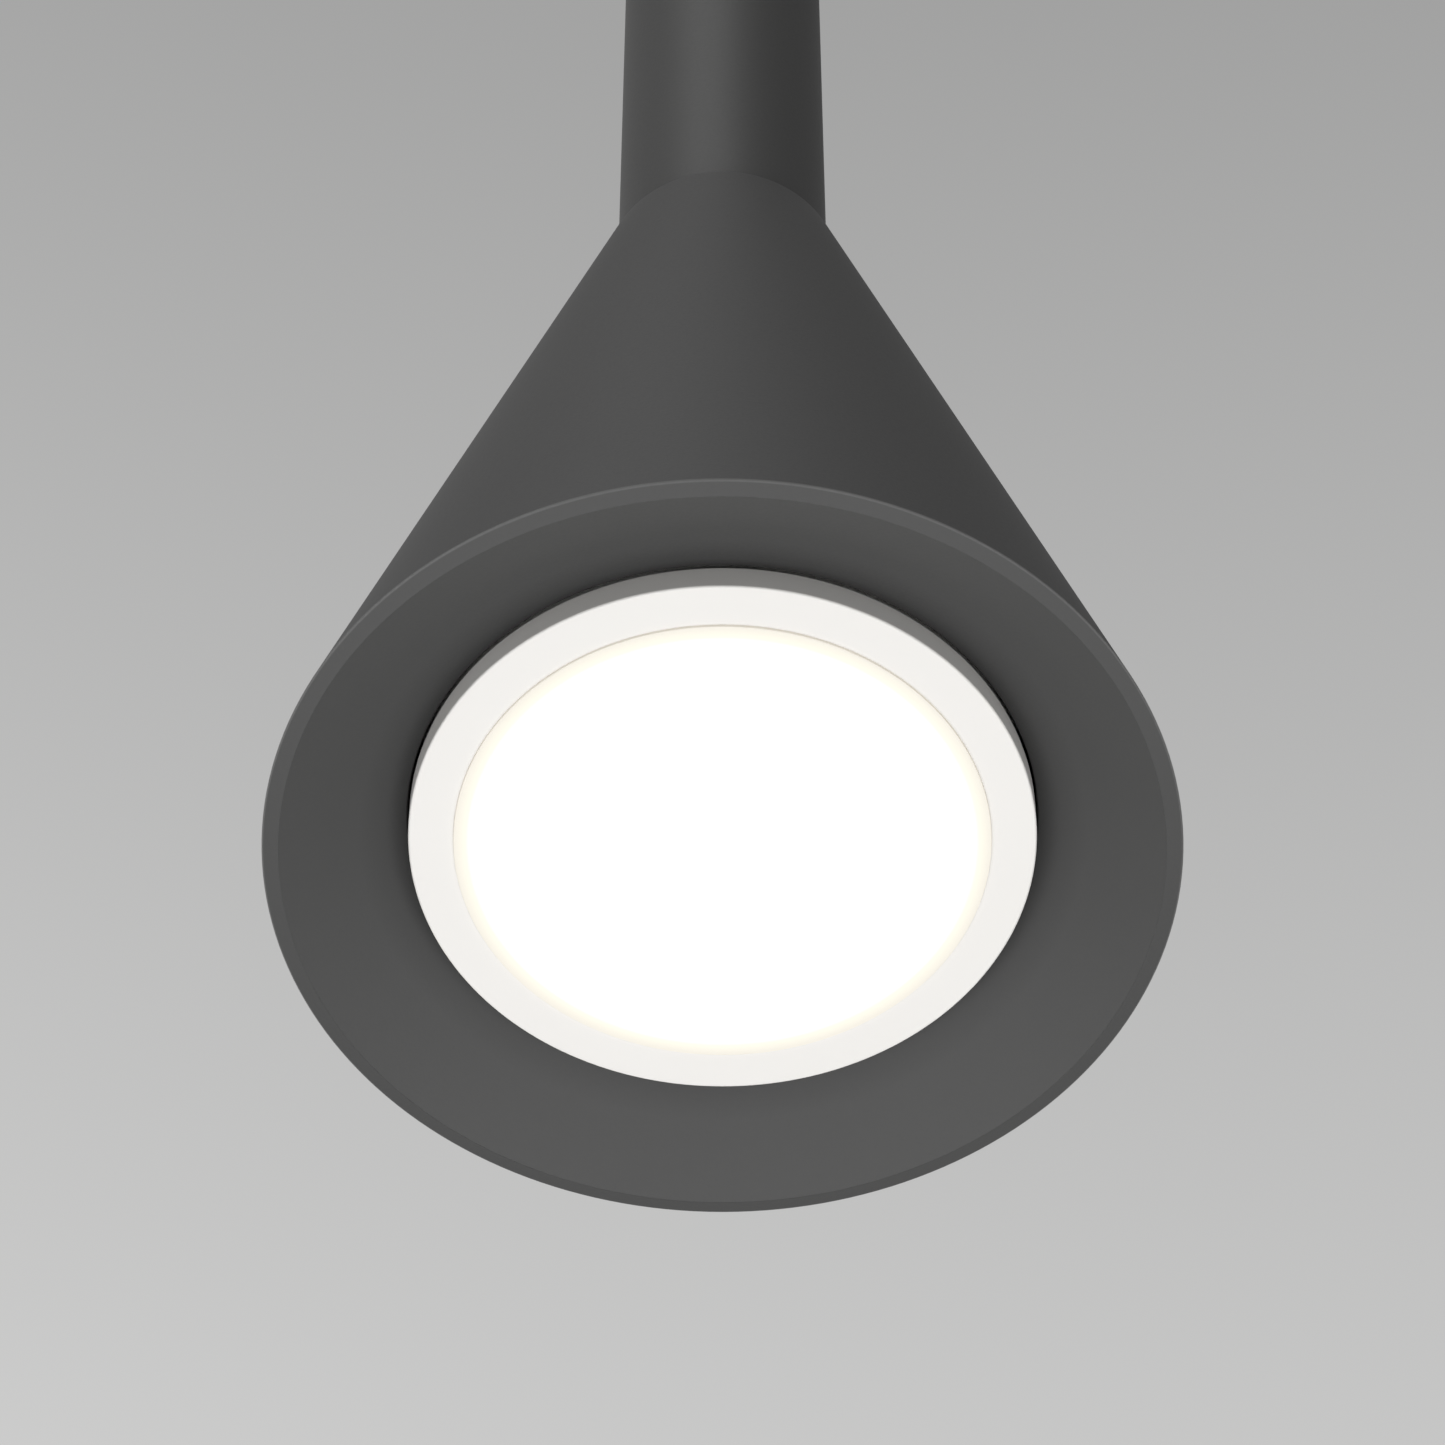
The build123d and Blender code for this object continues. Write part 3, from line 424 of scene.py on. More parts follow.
# %% Opal
OPAL_WALL = mm(1.5)
LIP_R, LIP_INNER_R = mm(34.5), mm(33.2)
LIP_ROUND = mm(0.2)
GLOW_EDGE = mm(3.0)  # how far in from its edge the disc is a little dimmer
opal_lip_z = lamp_face_z + RING_FACE
opal = lathe(
    "lamp_opal",
    [
        (0, opal_face_z),
        (opal_r - GLOW_EDGE, opal_face_z),
        (opal_r, opal_face_z, SEAM_ROUND),
        (opal_r, opal_lip_z),
        (LIP_R, opal_lip_z, LIP_ROUND),
        (LIP_R, opal_back_z, LIP_ROUND),
        (LIP_INNER_R, opal_back_z, LIP_ROUND),
        (LIP_INNER_R, opal_lip_z + OPAL_WALL, mm(0.3)),
        (opal_r - OPAL_WALL, opal_lip_z + OPAL_WALL, mm(0.3)),
        (opal_r - OPAL_WALL, opal_face_z + OPAL_WALL, mm(0.8)),
        (0, opal_face_z + OPAL_WALL),
    ],
)
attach(opal, "puck_lamp")
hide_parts("lamp_diffuser")

# %% [markdown]
# ## Folded sheet metal
# The ceiling bracket is one blank of steel strip that a press cuts, pierces and folds. Boxes would meet in
# sharp inside corners that no press can make. Here the fold line is drawn as a chain of points, its corners
# are rounded as the press would bend them, the chain is drawn out to the strip's width and thickened, and
# the holes are cut last. A cutter is an object of its own that is used up by the cut.

# %% Strips and cutters


def folded_strip(name, line, along, half_width, thick, bend):
    """A strip folded along a line of points and drawn out to its width along an axis."""
    select_none()
    bpy.ops.mesh.primitive_plane_add(size=mm(1))
    bpy.ops.object.mode_set(mode="EDIT")
    bpy.ops.mesh.select_mode(type="VERT")
    bpy.ops.mesh.merge(type="CENTER")
    side_step = Vector(along) * half_width
    corners = [Vector(point) - side_step for point in line]
    bpy.ops.transform.translate(value=corners[0])
    for start, end in zip(corners, corners[1:]):
        bpy.ops.mesh.extrude_region_move(TRANSFORM_OT_translate={"value": end - start})
    for corner in corners[1:-1]:
        pick_vertex(*corner)
        bpy.ops.mesh.bevel(offset=bend, segments=6, affect="VERTICES")
    bpy.ops.mesh.select_all(action="SELECT")
    bpy.ops.mesh.extrude_region_move(TRANSFORM_OT_translate={"value": 2 * side_step})
    bpy.ops.mesh.select_all(action="SELECT")
    bpy.ops.mesh.normals_make_consistent(inside=False)
    bpy.ops.object.mode_set(mode="OBJECT")
    piece = bpy.context.object
    piece.name = name
    wall = piece.modifiers.new("wall", "SOLIDIFY")
    wall.thickness = thick
    wall.offset = 0
    bpy.ops.object.modifier_apply(modifier=wall.name)
    return piece


def bar(low, high):
    """A square-edged cutter or blank between two corners."""
    select_none()
    low, high = Vector(low), Vector(high)
    bpy.ops.mesh.primitive_cube_add(size=1, location=(low + high) / 2)
    blank = bpy.context.object
    blank.scale = high - low
    bpy.ops.object.transform_apply(location=True, rotation=True, scale=True)
    return blank


def pull_apart(piece, middle_x, reach):
    """Moves the two halves of a round cutter apart along X, so that it cuts a slot."""
    for side in (-1, 1):
        bpy.ops.object.mode_set(mode="EDIT")
        bpy.ops.mesh.select_mode(type="VERT")
        bpy.ops.mesh.select_all(action="DESELECT")
        mesh = bmesh.from_edit_mesh(piece.data)
        for vertex in mesh.verts:
            vertex.select = (vertex.co.x - middle_x) * side > mm(0.001)
        mesh.select_flush_mode()
        bmesh.update_edit_mesh(piece.data)
        bpy.ops.transform.translate(value=(side * reach, 0, 0))
        bpy.ops.object.mode_set(mode="OBJECT")
    return piece


def post(radius, centre, length, axis="Z", sides=48):
    """A round cutter or blank."""
    select_none()
    turn = {"X": (0, math.pi / 2, 0), "Y": (math.pi / 2, 0, 0), "Z": (0, 0, 0)}[axis]
    bpy.ops.mesh.primitive_cylinder_add(
        vertices=sides, radius=radius, depth=length, location=centre, rotation=turn
    )
    blank = bpy.context.object
    bpy.ops.object.transform_apply(location=True, rotation=True, scale=True)
    return blank


def cut(piece, cutter, operation="DIFFERENCE"):
    """Cuts, joins or trims a piece with another, which is used up."""
    select_none()
    piece.select_set(True)
    bpy.context.view_layer.objects.active = piece
    change = piece.modifiers.new("change", "BOOLEAN")
    change.operation = operation
    change.solver = "EXACT"
    change.object = cutter
    bpy.ops.object.modifier_apply(modifier=change.name)
    bpy.data.objects.remove(cutter)
    return piece


def soften(piece, width, segments=2):
    """Takes the sharpness off every edge, then finishes the mesh."""
    select_none()
    piece.select_set(True)
    bpy.context.view_layer.objects.active = piece
    rounding = piece.modifiers.new("rounding", "BEVEL")
    rounding.width = width
    rounding.segments = segments
    rounding.limit_method = "ANGLE"
    rounding.angle_limit = math.radians(40)
    bpy.ops.object.modifier_apply(modifier=rounding.name)
    finish_mesh()
    print(piece.name, len(piece.data.polygons), "faces")
    return piece


def twin(piece):
    """A second piece with a mesh of its own, left selected and active."""
    second = piece.copy()
    second.data = piece.data.copy()
    bpy.context.collection.objects.link(second)
    select_none()
    second.select_set(True)
    bpy.context.view_layer.objects.active = second
    return second


def belongs(piece, body, node):
    """The piece moves with a body and stands for a CAD node, which is hidden."""
    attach(piece, body)
    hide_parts(node)


# %% Ceiling bracket
STRIP = mm(1.5)
BEND = mm(1.5)
TAB_HALF = mm(14)
TAB_Z = mm(-2.25)
strap_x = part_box("ceiling_bracket")[1].x - STRIP / 2
tab_end_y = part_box("ceiling_bracket")[1].y
crown_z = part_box("ceiling_bracket")[0].z + STRIP / 2
pad_z = -STRIP / 2
riser_x = mm(17.25)
strap_half = mm(10)
half_line = [(strap_x, crown_z - STRIP / 2), (strap_x, pad_z), (riser_x, pad_z), (riser_x, crown_z)]
line = [(-x, 0, z) for x, z in half_line] + [(x, 0, z) for x, z in reversed(half_line)]
bracket = folded_strip("bracket_strap", line, (0, 1, 0), strap_half, STRIP, BEND)

root_y = strap_half - mm(2.5)
riser_y = strap_half + STRIP / 2
tab_line = [(0, root_y, crown_z), (0, riser_y, crown_z), (0, riser_y, TAB_Z), (0, tab_end_y, TAB_Z)]
tab = folded_strip("bracket_tab", tab_line, (1, 0, 0), TAB_HALF, STRIP, BEND)
window_low = (mm(-10.5), strap_half - mm(1), mm(-11))
window_high = (mm(10.5), strap_half + mm(4), mm(-3.2))
cut(tab, bar(window_low, window_high))
cut(bracket, tab, "UNION")

# %% Bracket holes and ears
SLOT_R = mm(2.25)
SLOT_X = mm(27)
SLOT_REACH = mm(2.75)
EAR_HALF = mm(6)
EAR_CUT_X = (mm(34.6), mm(37))
EAR_CUT_Z = (mm(-15), mm(-3))
NIPPLE_HOLE_R = mm(5.05)
BLOCK_SCREW_HOLE_R = mm(1.4)
THROUGH = mm(4)  # long enough for a cutter to pass through the strip
for side in (-1, 1):
    slot = post(SLOT_R, (side * SLOT_X, 0, pad_z), THROUGH)
    cut(bracket, pull_apart(slot, side * SLOT_X, SLOT_REACH))
    for edge in (-1, 1):
        near, far = sorted((edge * EAR_HALF, edge * (strap_half + mm(1))))
        inner, outer = sorted(side * x for x in EAR_CUT_X)
        cut(bracket, bar((inner, near, EAR_CUT_Z[0]), (outer, far, EAR_CUT_Z[1])))
cut(bracket, post(NIPPLE_HOLE_R, (0, 0, crown_z), THROUGH))
cut(bracket, post(BLOCK_SCREW_HOLE_R, (mm(-4), mm(22), TAB_Z), THROUGH))
soften(bracket, mm(0.15))
belongs(bracket, "fitting", "ceiling_bracket")

# %% [markdown]
# ## Nut, nipples and screws
# A hexagon nut is a six-sided bar whose corners are turned off in a lathe, which leaves the small curved
# arcs on its flats. A bevel can't draw those arcs, so the bar is trimmed with a turned blank, just as the
# lathe would. A thread is drawn as rings instead of a helix: at this size they look the same, and rings
# close on themselves. What repeats is made once: the lower nut is a copy of the upper one, and the canopy's
# screw is turned, slotted, and copied to the other side.

# %% Nuts
NUT_CHAMFER = mm(0.9)
THREAD_R = mm(5.0)


def hexagon_nut(node):
    """A hexagon nut in the place of a CAD node."""
    low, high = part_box(node)[0].z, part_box(node)[1].z
    corner_r, flat_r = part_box(node)[1].x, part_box(node)[1].y
    piece = post(corner_r, (0, 0, (low + high) / 2), high - low, sides=6)
    if max(vertex.co.x for vertex in piece.data.vertices) < corner_r - mm(0.1):
        piece.rotation_euler.z = math.radians(30)
        bpy.ops.object.transform_apply(location=False, rotation=True, scale=False)
    face_r, turned_r = flat_r - mm(0.2), corner_r + mm(0.1)
    blank = [
        (0, low), (face_r, low), (turned_r, low + NUT_CHAMFER),
        (turned_r, high - NUT_CHAMFER), (face_r, high), (0, high),
    ]
    cut(piece, lathe("nut_blank", blank, steps=96), "INTERSECT")
    cut(piece, post(THREAD_R + mm(0.02), (0, 0, (low + high) / 2), mm(8)))
    return soften(piece, mm(0.08))


upper_nut = hexagon_nut("upper_nut")
lower_nut = twin(upper_nut)
lower_nut.location.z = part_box("lower_nut")[0].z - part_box("upper_nut")[0].z
bpy.ops.object.transform_apply(location=True, rotation=True, scale=True)
for piece, node in ((upper_nut, "upper_nut"), (lower_nut, "lower_nut")):
    piece.name = node.replace("nut", "hexagon_nut")
    belongs(piece, "fitting", node)

# %% Nipples
THREAD_PITCH = mm(1.0)
THREAD_DEPTH = mm(0.45)
CREST = (mm(0.35), mm(0.5), mm(0.85))  # where one crest starts, where it ends, and the next root
NIPPLE_BORE = mm(3.5)
BORE_ROUND = mm(0.2)


def nipple(name, node):
    """A hollow threaded nipple: its crests stay inside the CAD part's cylinder."""
    low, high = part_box(node)[0].z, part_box(node)[1].z
    turns = int((high - low - mm(0.5)) / THREAD_PITCH)
    root_r = THREAD_R - THREAD_DEPTH
    section = [(NIPPLE_BORE, low, BORE_ROUND), (root_r, low)]
    for turn in range(turns):
        foot = low + mm(0.4) + turn * THREAD_PITCH
        section += [(THREAD_R, foot + CREST[0]), (THREAD_R, foot + CREST[1]), (root_r, foot + CREST[2])]
    section += [(root_r, high), (NIPPLE_BORE, high, BORE_ROUND)]
    piece = lathe(name, section, steps=96)
    belongs(piece, "fitting", node)
    return piece


upper_nipple = nipple("upper_threaded_nipple", "upper_nipple")
lower_nipple = nipple("lower_threaded_nipple", "lower_nipple")

# %% Canopy screws
SCREW_R = mm(1.5)
HEAD_R = mm(2.75)
HEAD_HIGH = mm(2.0)
SLOT_WIDE = mm(0.8)
SCREW_TIP_X = mm(36.58)
screw_z = (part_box("canopy_screws")[0].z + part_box("canopy_screws")[1].z) / 2
head_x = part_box("canopy_screws")[1].x
screw = lathe(
    "canopy_screw",
    [
        (0, SCREW_TIP_X),
        (SCREW_R, SCREW_TIP_X, mm(0.3)),
        (SCREW_R, head_x - HEAD_HIGH),
        (HEAD_R, head_x - HEAD_HIGH, mm(0.15)),
        (HEAD_R, head_x, mm(0.9)),
        (0, head_x),
    ],
    steps=48,
)
screw.rotation_euler.y = math.pi / 2
screw.location.z = screw_z
bpy.ops.object.transform_apply(location=True, rotation=True, scale=True)
slot_low = (head_x - SLOT_WIDE, -mm(4), screw_z - SLOT_WIDE / 2)
cut(screw, bar(slot_low, (head_x + mm(1), mm(4), screw_z + SLOT_WIDE / 2)))
soften(screw, mm(0.06))
other = twin(screw)
other.rotation_euler.z = math.pi
bpy.ops.object.transform_apply(location=True, rotation=True, scale=True)
for piece, name in ((screw, "canopy_screw_right"), (other, "canopy_screw_left")):
    piece.name = name
    belongs(piece, "canopy_cup", "canopy_screws")

# %% [markdown]
# ## The terminal block
# Three poles are moulded in one strip of nylon, with a groove between them where a pole could be cut off.
# The strip starts as a block, and the grooves, the wire holes and the screw wells are cut from it one by one.

# %% Terminal block
block_low, block_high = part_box("terminal_block")
block_y = (block_low.y + block_high.y) / 2
POLE_X = (mm(-8), 0, mm(8))
POLE_Z = block_high.z - mm(5.5)
POLE_R = mm(2.02)
SCREW_WELL_Y = (mm(18), mm(26))
SCREW_WELL_R = mm(1.45)
GROOVE_X = (mm(-4), mm(4))
GROOVE_HALF = mm(0.7)
GROOVE_DEEP = mm(2.2)
NOTCH_DEEP = mm(0.8)
BEYOND = mm(1)  # how far a cutter runs on into open air
block = bar(block_low, block_high)
block.name = "terminal_strip"
for x in GROOVE_X:
    left, right = x - GROOVE_HALF, x + GROOVE_HALF
    low_z, groove_z = block_low.z - BEYOND, block_low.z + GROOVE_DEEP
    cut(block, bar((left, block_low.y - BEYOND, low_z), (right, block_high.y + BEYOND, groove_z)))
    for y in (block_low.y, block_high.y):
        cut(block, bar((left, y - NOTCH_DEEP, low_z), (right, y + NOTCH_DEEP, 0)))
for x in POLE_X:
    cut(block, post(POLE_R, (x, block_y, POLE_Z), mm(20), axis="Y"))
    for y in SCREW_WELL_Y:
        cut(block, post(SCREW_WELL_R, (x, y, block_low.z + mm(2)), mm(6.5)))
cut(block, post(mm(1.6), (GROOVE_X[0], block_y, POLE_Z), mm(20)))
soften(block, mm(0.2))
belongs(block, "fitting", "terminal_block")

# %% [markdown]
# ## Finishes
# Every finish starts from the same few effects: a slow mottle, a fine grain and wear on edges. Each effect
# is a node group, so it is built once and each material turns it to its own strength.

# %% Node helpers


def add(tree, kind, **sockets):
    """Adds a node and sets the sockets that are named."""
    made = tree.nodes.new(kind)
    for name, value in sockets.items():
        made.inputs[name.replace("_", " ")].default_value = value
    return made


def new_group(name, inputs, outputs):
    """An empty node group with its sockets, and its input and output nodes."""
    group = bpy.data.node_groups.new(name, "ShaderNodeTree")
    for label, kind in inputs:
        group.interface.new_socket(label, in_out="INPUT", socket_type="NodeSocket" + kind)
    for label, kind in outputs:
        group.interface.new_socket(label, in_out="OUTPUT", socket_type="NodeSocket" + kind)
    return group, group.nodes.new("NodeGroupInput"), group.nodes.new("NodeGroupOutput")


def math_node(tree, operation, first, second):
    """A Math node, fed by sockets or by plain numbers."""
    made = tree.nodes.new("ShaderNodeMath")
    made.operation = operation
    for index, value in enumerate((first, second)):
        if isinstance(value, (int, float)):
            made.inputs[index].default_value = value
        else:
            tree.links.new(value, made.inputs[index])
    return made.outputs[0]


# %% Shared effects


def build_mottle():
    """Slow cloudy variation around one, such as a coat's uneven film."""
    inputs = [("Vector", "Vector"), ("Scale", "Float"), ("Depth", "Float")]
    tree, inside, outside = new_group("mottle", inputs, [("Factor", "Float")])
    noise = add(tree, "ShaderNodeTexNoise", Detail=3.0, Roughness=0.55)
    tree.links.new(inside.outputs["Vector"], noise.inputs["Vector"])
    tree.links.new(inside.outputs["Scale"], noise.inputs["Scale"])
    centred = math_node(tree, "SUBTRACT", noise.outputs[0], 0.5)
    scaled = math_node(tree, "MULTIPLY", centred, inside.outputs["Depth"])
    tree.links.new(math_node(tree, "ADD", scaled, 1.0), outside.inputs["Factor"])
    return tree


def build_grain():
    """Fine pebbled skin of a powder coat or a moulding, as a height."""
    inputs = [("Vector", "Vector"), ("Scale", "Float")]
    tree, inside, outside = new_group("grain", inputs, [("Height", "Float")])
    fine = add(tree, "ShaderNodeTexNoise", Detail=2.0, Roughness=0.5)
    cells = tree.nodes.new("ShaderNodeTexVoronoi")
    cells.feature = "SMOOTH_F1"
    for texture in (fine, cells):
        tree.links.new(inside.outputs["Vector"], texture.inputs["Vector"])
        tree.links.new(inside.outputs["Scale"], texture.inputs["Scale"])
    both = math_node(tree, "ADD", fine.outputs[0], cells.outputs["Distance"])
    tree.links.new(math_node(tree, "MULTIPLY", both, 0.5), outside.inputs["Height"])
    return tree


def build_rub():
    """Wear on outer edges, broken up so that it is never an even line."""
    inputs = [("Vector", "Vector"), ("Amount", "Float")]
    tree, inside, outside = new_group("rub", inputs, [("Mask", "Float")])
    shape = tree.nodes.new("ShaderNodeNewGeometry")
    noise = add(tree, "ShaderNodeTexNoise", Scale=400.0, Detail=3.0)
    tree.links.new(inside.outputs["Vector"], noise.inputs["Vector"])
    edge = add(tree, "ShaderNodeMapRange", From_Min=0.52, From_Max=0.62)
    tree.links.new(shape.outputs["Pointiness"], edge.inputs["Value"])
    patchy = math_node(tree, "MULTIPLY", edge.outputs[0], noise.outputs[0])
    tree.links.new(math_node(tree, "MULTIPLY", patchy, inside.outputs["Amount"]), outside.inputs["Mask"])
    return tree


def build_axis():
    """Distance of a point from the light's upright axis, and its height."""
    outputs = [("Distance", "Float"), ("Height", "Float")]
    tree, inside, outside = new_group("axis", [("Vector", "Vector")], outputs)
    axes = tree.nodes.new("ShaderNodeSeparateXYZ")
    tree.links.new(inside.outputs["Vector"], axes.inputs[0])
    across = math_node(tree, "POWER", axes.outputs["X"], 2.0)
    along = math_node(tree, "POWER", axes.outputs["Y"], 2.0)
    both = math_node(tree, "ADD", across, along)
    tree.links.new(math_node(tree, "SQRT", both, 0.0), outside.inputs["Distance"])
    tree.links.new(axes.outputs["Z"], outside.inputs["Height"])
    return tree


mottle_group, grain_group, rub_group = build_mottle(), build_grain(), build_rub()
axis_group = build_axis()

# %% One finish
WORN_BRIGHTER = 1.6
ROUGHNESS_SPREAD = 0.05


def finish(name, colour, roughness, metallic=0.0, grain=mm(0.4), bump=0.05, mottle=0.12, rub=0.1):
    """A finish: a colour with mottle, a grain in the bump and in the roughness, and rubbed edges."""
    material = bpy.data.materials.new(name)
    material.use_nodes = True
    tree = material.node_tree
    shader = tree.nodes["Principled BSDF"]
    shader.inputs["Metallic"].default_value = metallic
    place = tree.nodes.new("ShaderNodeTexCoord").outputs["Object"]

    def effect(group, **sockets):
        made = add(tree, "ShaderNodeGroup")
        made.node_tree = group
        for label, value in sockets.items():
            made.inputs[label].default_value = value
        tree.links.new(place, made.inputs["Vector"])
        return made.outputs[0]

    slow = effect(mottle_group, Scale=60.0, Depth=mottle)
    skin = effect(grain_group, Scale=1 / grain)
    edges = effect(rub_group, Amount=rub)
    base = add(tree, "ShaderNodeMix")
    base.data_type = "RGBA"
    base.blend_type = "MULTIPLY"
    base.inputs["Factor"].default_value = 1.0
    base.inputs[6].default_value = (*colour, 1)
    tree.links.new(slow, base.inputs[7])
    wear = add(tree, "ShaderNodeMix")
    wear.data_type = "RGBA"
    wear.inputs[7].default_value = (*[min(1, part * WORN_BRIGHTER) for part in colour], 1)
    tree.links.new(edges, wear.inputs["Factor"])
    tree.links.new(base.outputs[2], wear.inputs[6])
    tree.links.new(wear.outputs[2], shader.inputs["Base Color"])
    rough = add(tree, "ShaderNodeMapRange", To_Min=roughness - ROUGHNESS_SPREAD)
    rough.inputs["To Max"].default_value = roughness + ROUGHNESS_SPREAD
    tree.links.new(skin, rough.inputs["Value"])
    tree.links.new(rough.outputs[0], shader.inputs["Roughness"])
    relief = add(tree, "ShaderNodeBump", Strength=bump, Distance=grain / 4)
    tree.links.new(skin, relief.inputs["Height"])
    tree.links.new(relief.outputs[0], shader.inputs["Normal"])
    return material


def dress(piece, material):
    piece.data.materials.clear()
    piece.data.materials.append(material)


# %% [markdown]
# ## The grey coat
# The shade, stem, canopy and pan share one fine matt powder coat. Two of them carry a little more. The dish
# has painted shade close to the lamp, where the lamp's side shadows it, and the shade has a painted
# highlight:
# a thin bright line on the outer edge of its rim. Both are masks over the distance from the light's axis, or
# the height, so they stay in place from every side.

# %% The coat
COAT = (0.047, 0.047, 0.0467)
COAT_LOOK = {"roughness": 0.57, "bump": 0.12, "mottle": 0.05, "rub": 0.12}


def tint(material, colour, masks):
    """Mixes a colour over a finish where every mask (output, from, to) of the axis group is one."""
    tree = material.node_tree
    base = tree.nodes["Principled BSDF"].inputs["Base Color"]
    under = base.links[0].from_socket
    axis = add(tree, "ShaderNodeGroup")
    axis.node_tree = axis_group
    tree.links.new(tree.nodes["Texture Coordinate"].outputs["Object"], axis.inputs["Vector"])
    share = 1.0
    for output, start, end in masks:
        edge = add(tree, "ShaderNodeMapRange", From_Min=start, From_Max=end)
        tree.links.new(axis.outputs[output], edge.inputs["Value"])
        share = math_node(tree, "MULTIPLY", edge.outputs[0], share)
    over = add(tree, "ShaderNodeMix")
    over.data_type = "RGBA"
    over.inputs[7].default_value = (*colour, 1)
    tree.links.new(share, over.inputs["Factor"])
    tree.links.new(under, over.inputs[6])
    tree.links.new(over.outputs[2], base)


coat = finish("grey_powder_coat", COAT, **COAT_LOOK)
for piece in (stem, canopy):
    dress(piece, coat)

# %% The dish, with painted shade round the lamp
# Painted shade: the dish's colour darkens towards the lamp, standing in for the shadow that the lamp's side
# casts into the dish.
PAINTED_SHADE_FACTOR = 0.55
PAINTED_SHADE_REACH = mm(6)
PAINTED_DISH_SHADE = tuple(part * PAINTED_SHADE_FACTOR for part in COAT)
coat_with_painted_shade = finish("grey_coat_with_painted_shade", COAT, **COAT_LOOK)
tint(coat_with_painted_shade, PAINTED_DISH_SHADE, [("Distance", lamp_r + PAINTED_SHADE_REACH, lamp_r)])
dress(pan, coat_with_painted_shade)
print("dish dims over", round(PAINTED_SHADE_REACH * 1000, 1), "mm")

# %% The shade's rim, with a painted highlight
# Painted highlight: a lighter line along the outer edge of the rim, standing in for the light that this edge
# catches.
PAINTED_RIM_HIGHLIGHT = (0.14, 0.14, 0.139)
coat_with_painted_highlight = finish("grey_coat_with_painted_rim_highlight", COAT, **COAT_LOOK)
tint(
    coat_with_painted_highlight, PAINTED_RIM_HIGHLIGHT,
    [("Height", rim_z + mm(0.9), rim_z + mm(0.55)), ("Distance", rim_r - mm(0.25), rim_r - mm(0.08))],
)
dress(shade, coat_with_painted_highlight)
print("rim edge tone", PAINTED_RIM_HIGHLIGHT[0])

# %% [markdown]
# ## The lamp's finishes
# The ring is a plain white moulding. The opal disc glows: white in the middle and creamier towards its edge,
# where less light reaches it from inside. Its side, in the seam, glows a little less than its face, which
# keeps the seam faint.

# %% White plastic
white = finish("lamp_white_plastic", (0.775, 0.76, 0.737), 0.42, bump=0.03, mottle=0.02, rub=0.0)
dress(ring, white)
print(white.name)

# %% Lit opal
GLOW_TONES = ((0, (1.0, 0.99, 0.97)), (0.5, (0.52, 0.50, 0.39)), (1, (0.39, 0.355, 0.29)))
SIDE_GLOW = 0.9
SIDE_FROM, SIDE_TO = mm(0.05), mm(0.15)  # heights above the face between which the glow eases off
lit = finish("lit_opal", (0.46, 0.45, 0.43), 0.35, bump=0.02, mottle=0.01, rub=0.0)
dress(opal, lit)
tree = lit.node_tree
shader = tree.nodes["Principled BSDF"]
axes = tree.nodes.new("ShaderNodeSeparateXYZ")
tree.links.new(tree.nodes["Texture Coordinate"].outputs["Object"], axes.inputs[0])
flat = tree.nodes.new("ShaderNodeCombineXYZ")
tree.links.new(axes.outputs["X"], flat.inputs["X"])
tree.links.new(axes.outputs["Y"], flat.inputs["Y"])
length = tree.nodes.new("ShaderNodeVectorMath")
length.operation = "LENGTH"
tree.links.new(flat.outputs[0], length.inputs[0])
fade = add(tree, "ShaderNodeMapRange", From_Min=opal_r - GLOW_EDGE, From_Max=opal_r)
tree.links.new(length.outputs["Value"], fade.inputs["Value"])
warm = tree.nodes.new("ShaderNodeValToRGB")
warm.color_ramp.elements[0].color = (*GLOW_TONES[0][1], 1)
warm.color_ramp.elements[1].color = (*GLOW_TONES[2][1], 1)
middle_tone = warm.color_ramp.elements.new(GLOW_TONES[1][0])
middle_tone.color = (*GLOW_TONES[1][1], 1)
tree.links.new(fade.outputs[0], warm.inputs["Fac"])
face_only = add(
    tree, "ShaderNodeMapRange", From_Min=opal_face_z + SIDE_FROM, From_Max=opal_face_z + SIDE_TO,
    To_Min=1.0, To_Max=SIDE_GLOW,
)
tree.links.new(axes.outputs["Z"], face_only.inputs["Value"])
glow = add(tree, "ShaderNodeMix")
glow.data_type = "RGBA"
glow.inputs[6].default_value = (0, 0, 0, 1)
tree.links.new(face_only.outputs[0], glow.inputs["Factor"])
tree.links.new(warm.outputs["Color"], glow.inputs[7])
tree.links.new(glow.outputs[2], shader.inputs["Emission Color"])
shader.inputs["Emission Strength"].default_value = 1.0
print(lit.name, "glows over", round(opal_r * 2000, 1), "mm")

# %% [markdown]
# ## The finishes inside
# Every part that is left as its CAD node still gets the finish its record names: plated steel, brass,
# nylon, ferrite, copper in coloured insulation. They show when the canopy is down, or when the model is
# taken apart.

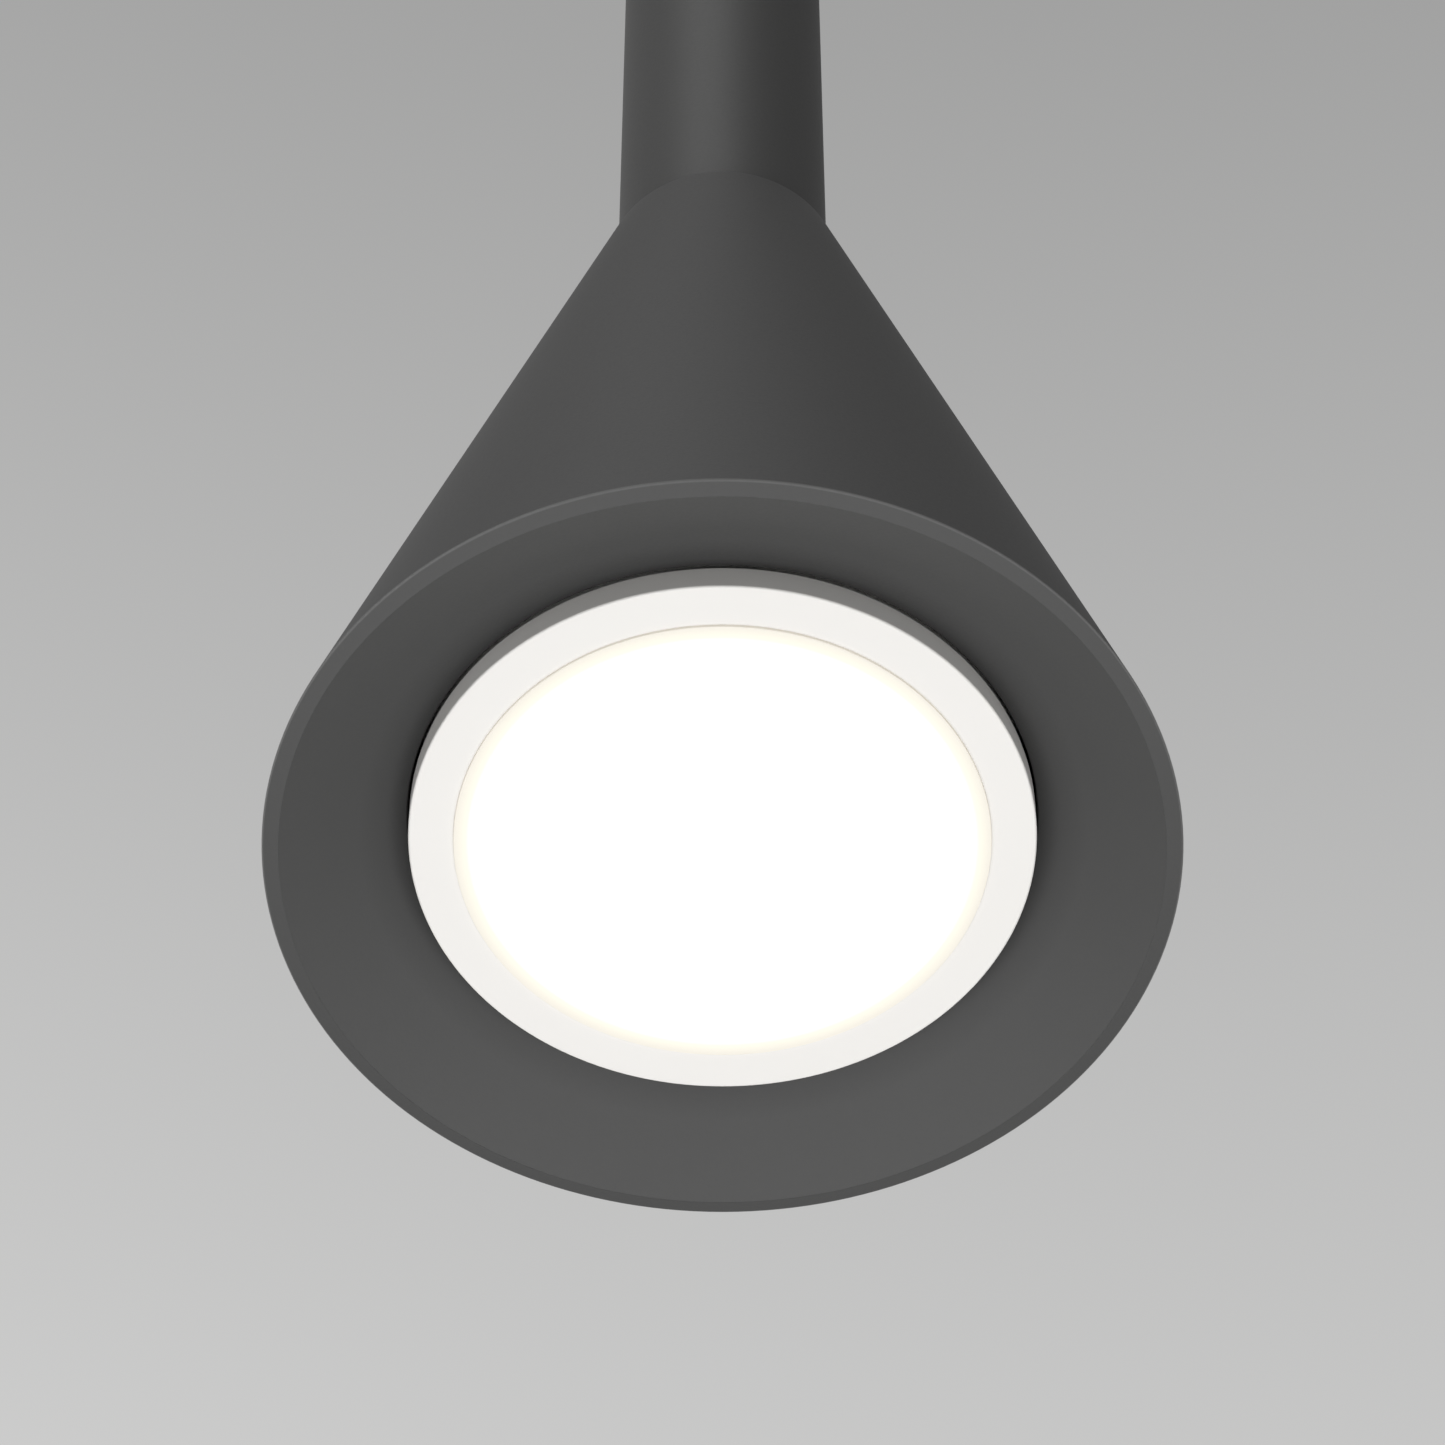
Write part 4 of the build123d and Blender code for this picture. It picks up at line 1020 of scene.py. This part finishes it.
# %% Inner finishes
FINISHES = {
    "zinc_steel": finish(
        "zinc_plated_steel", (0.56, 0.56, 0.54), 0.34, 1.0, grain=mm(0.6), bump=0.08, mottle=0.25
    ),
    "black_screw": finish("black_screw_steel", (0.03, 0.03, 0.03), 0.38, 0.6, bump=0.06),
    "screw_steel": finish("plated_screw_steel", (0.60, 0.60, 0.60), 0.28, 1.0, bump=0.05, mottle=0.2),
    "brass": finish("pressed_brass", (0.68, 0.48, 0.20), 0.30, 1.0, bump=0.05, mottle=0.3),
    "tag_tin": finish("tinned_copper", (0.66, 0.65, 0.62), 0.36, 1.0, bump=0.05, mottle=0.25),
    "terminal_plastic": finish("terminal_nylon", (0.78, 0.77, 0.71), 0.5, bump=0.05),
    "holder_plastic": finish("holder_moulding", (0.76, 0.76, 0.74), 0.5, bump=0.05),
    "grommet_rubber": finish("grommet_rubber", (0.03, 0.03, 0.03), 0.7, bump=0.1),
    "lamp_white": white,
    "opal": lit,
    "plate_aluminium": finish("plate_aluminium", (0.72, 0.72, 0.73), 0.4, 1.0, bump=0.06, mottle=0.2),
    "board_white": finish("board_solder_mask", (0.82, 0.82, 0.79), 0.4, bump=0.04),
    "led_yellow": finish("led_phosphor", (0.85, 0.62, 0.12), 0.45, bump=0.04),
    "board_green": finish("board_glass_fibre", (0.03, 0.16, 0.06), 0.4, bump=0.06),
    "capacitor_sleeve": finish("capacitor_sleeve", (0.03, 0.035, 0.09), 0.35, bump=0.03),
    "coil_ferrite": finish("coil_ferrite", (0.06, 0.06, 0.06), 0.6, bump=0.1),
    "wire_brown": finish("brown_insulation", (0.16, 0.06, 0.025), 0.4, bump=0.04),
    "wire_blue": finish("blue_insulation", (0.02, 0.09, 0.38), 0.4, bump=0.04),
    "wire_green": finish("green_insulation", (0.10, 0.32, 0.04), 0.4, bump=0.04),
    "grey_coat": coat,
}
slot_of = {entry["node"]: entry["material_slot"] for entry in frame["record"]["subparts"]}
for name, node in nodes.items():
    dress(node, FINISHES[slot_of[name]])
for piece in (bracket, upper_nut, lower_nut, upper_nipple, lower_nipple):
    dress(piece, FINISHES["zinc_steel"])
for piece in (screw, other):
    dress(piece, FINISHES["black_screw"])
dress(block, FINISHES["terminal_plastic"])
print(len(FINISHES), "finishes on", len(nodes), "nodes")

paper = finish("floor_paper", (0.62, 0.62, 0.615), 0.9, grain=mm(30), bump=0.02, mottle=0.03, rub=0.0)
dress(floor, paper)
print("floor is", paper.name)
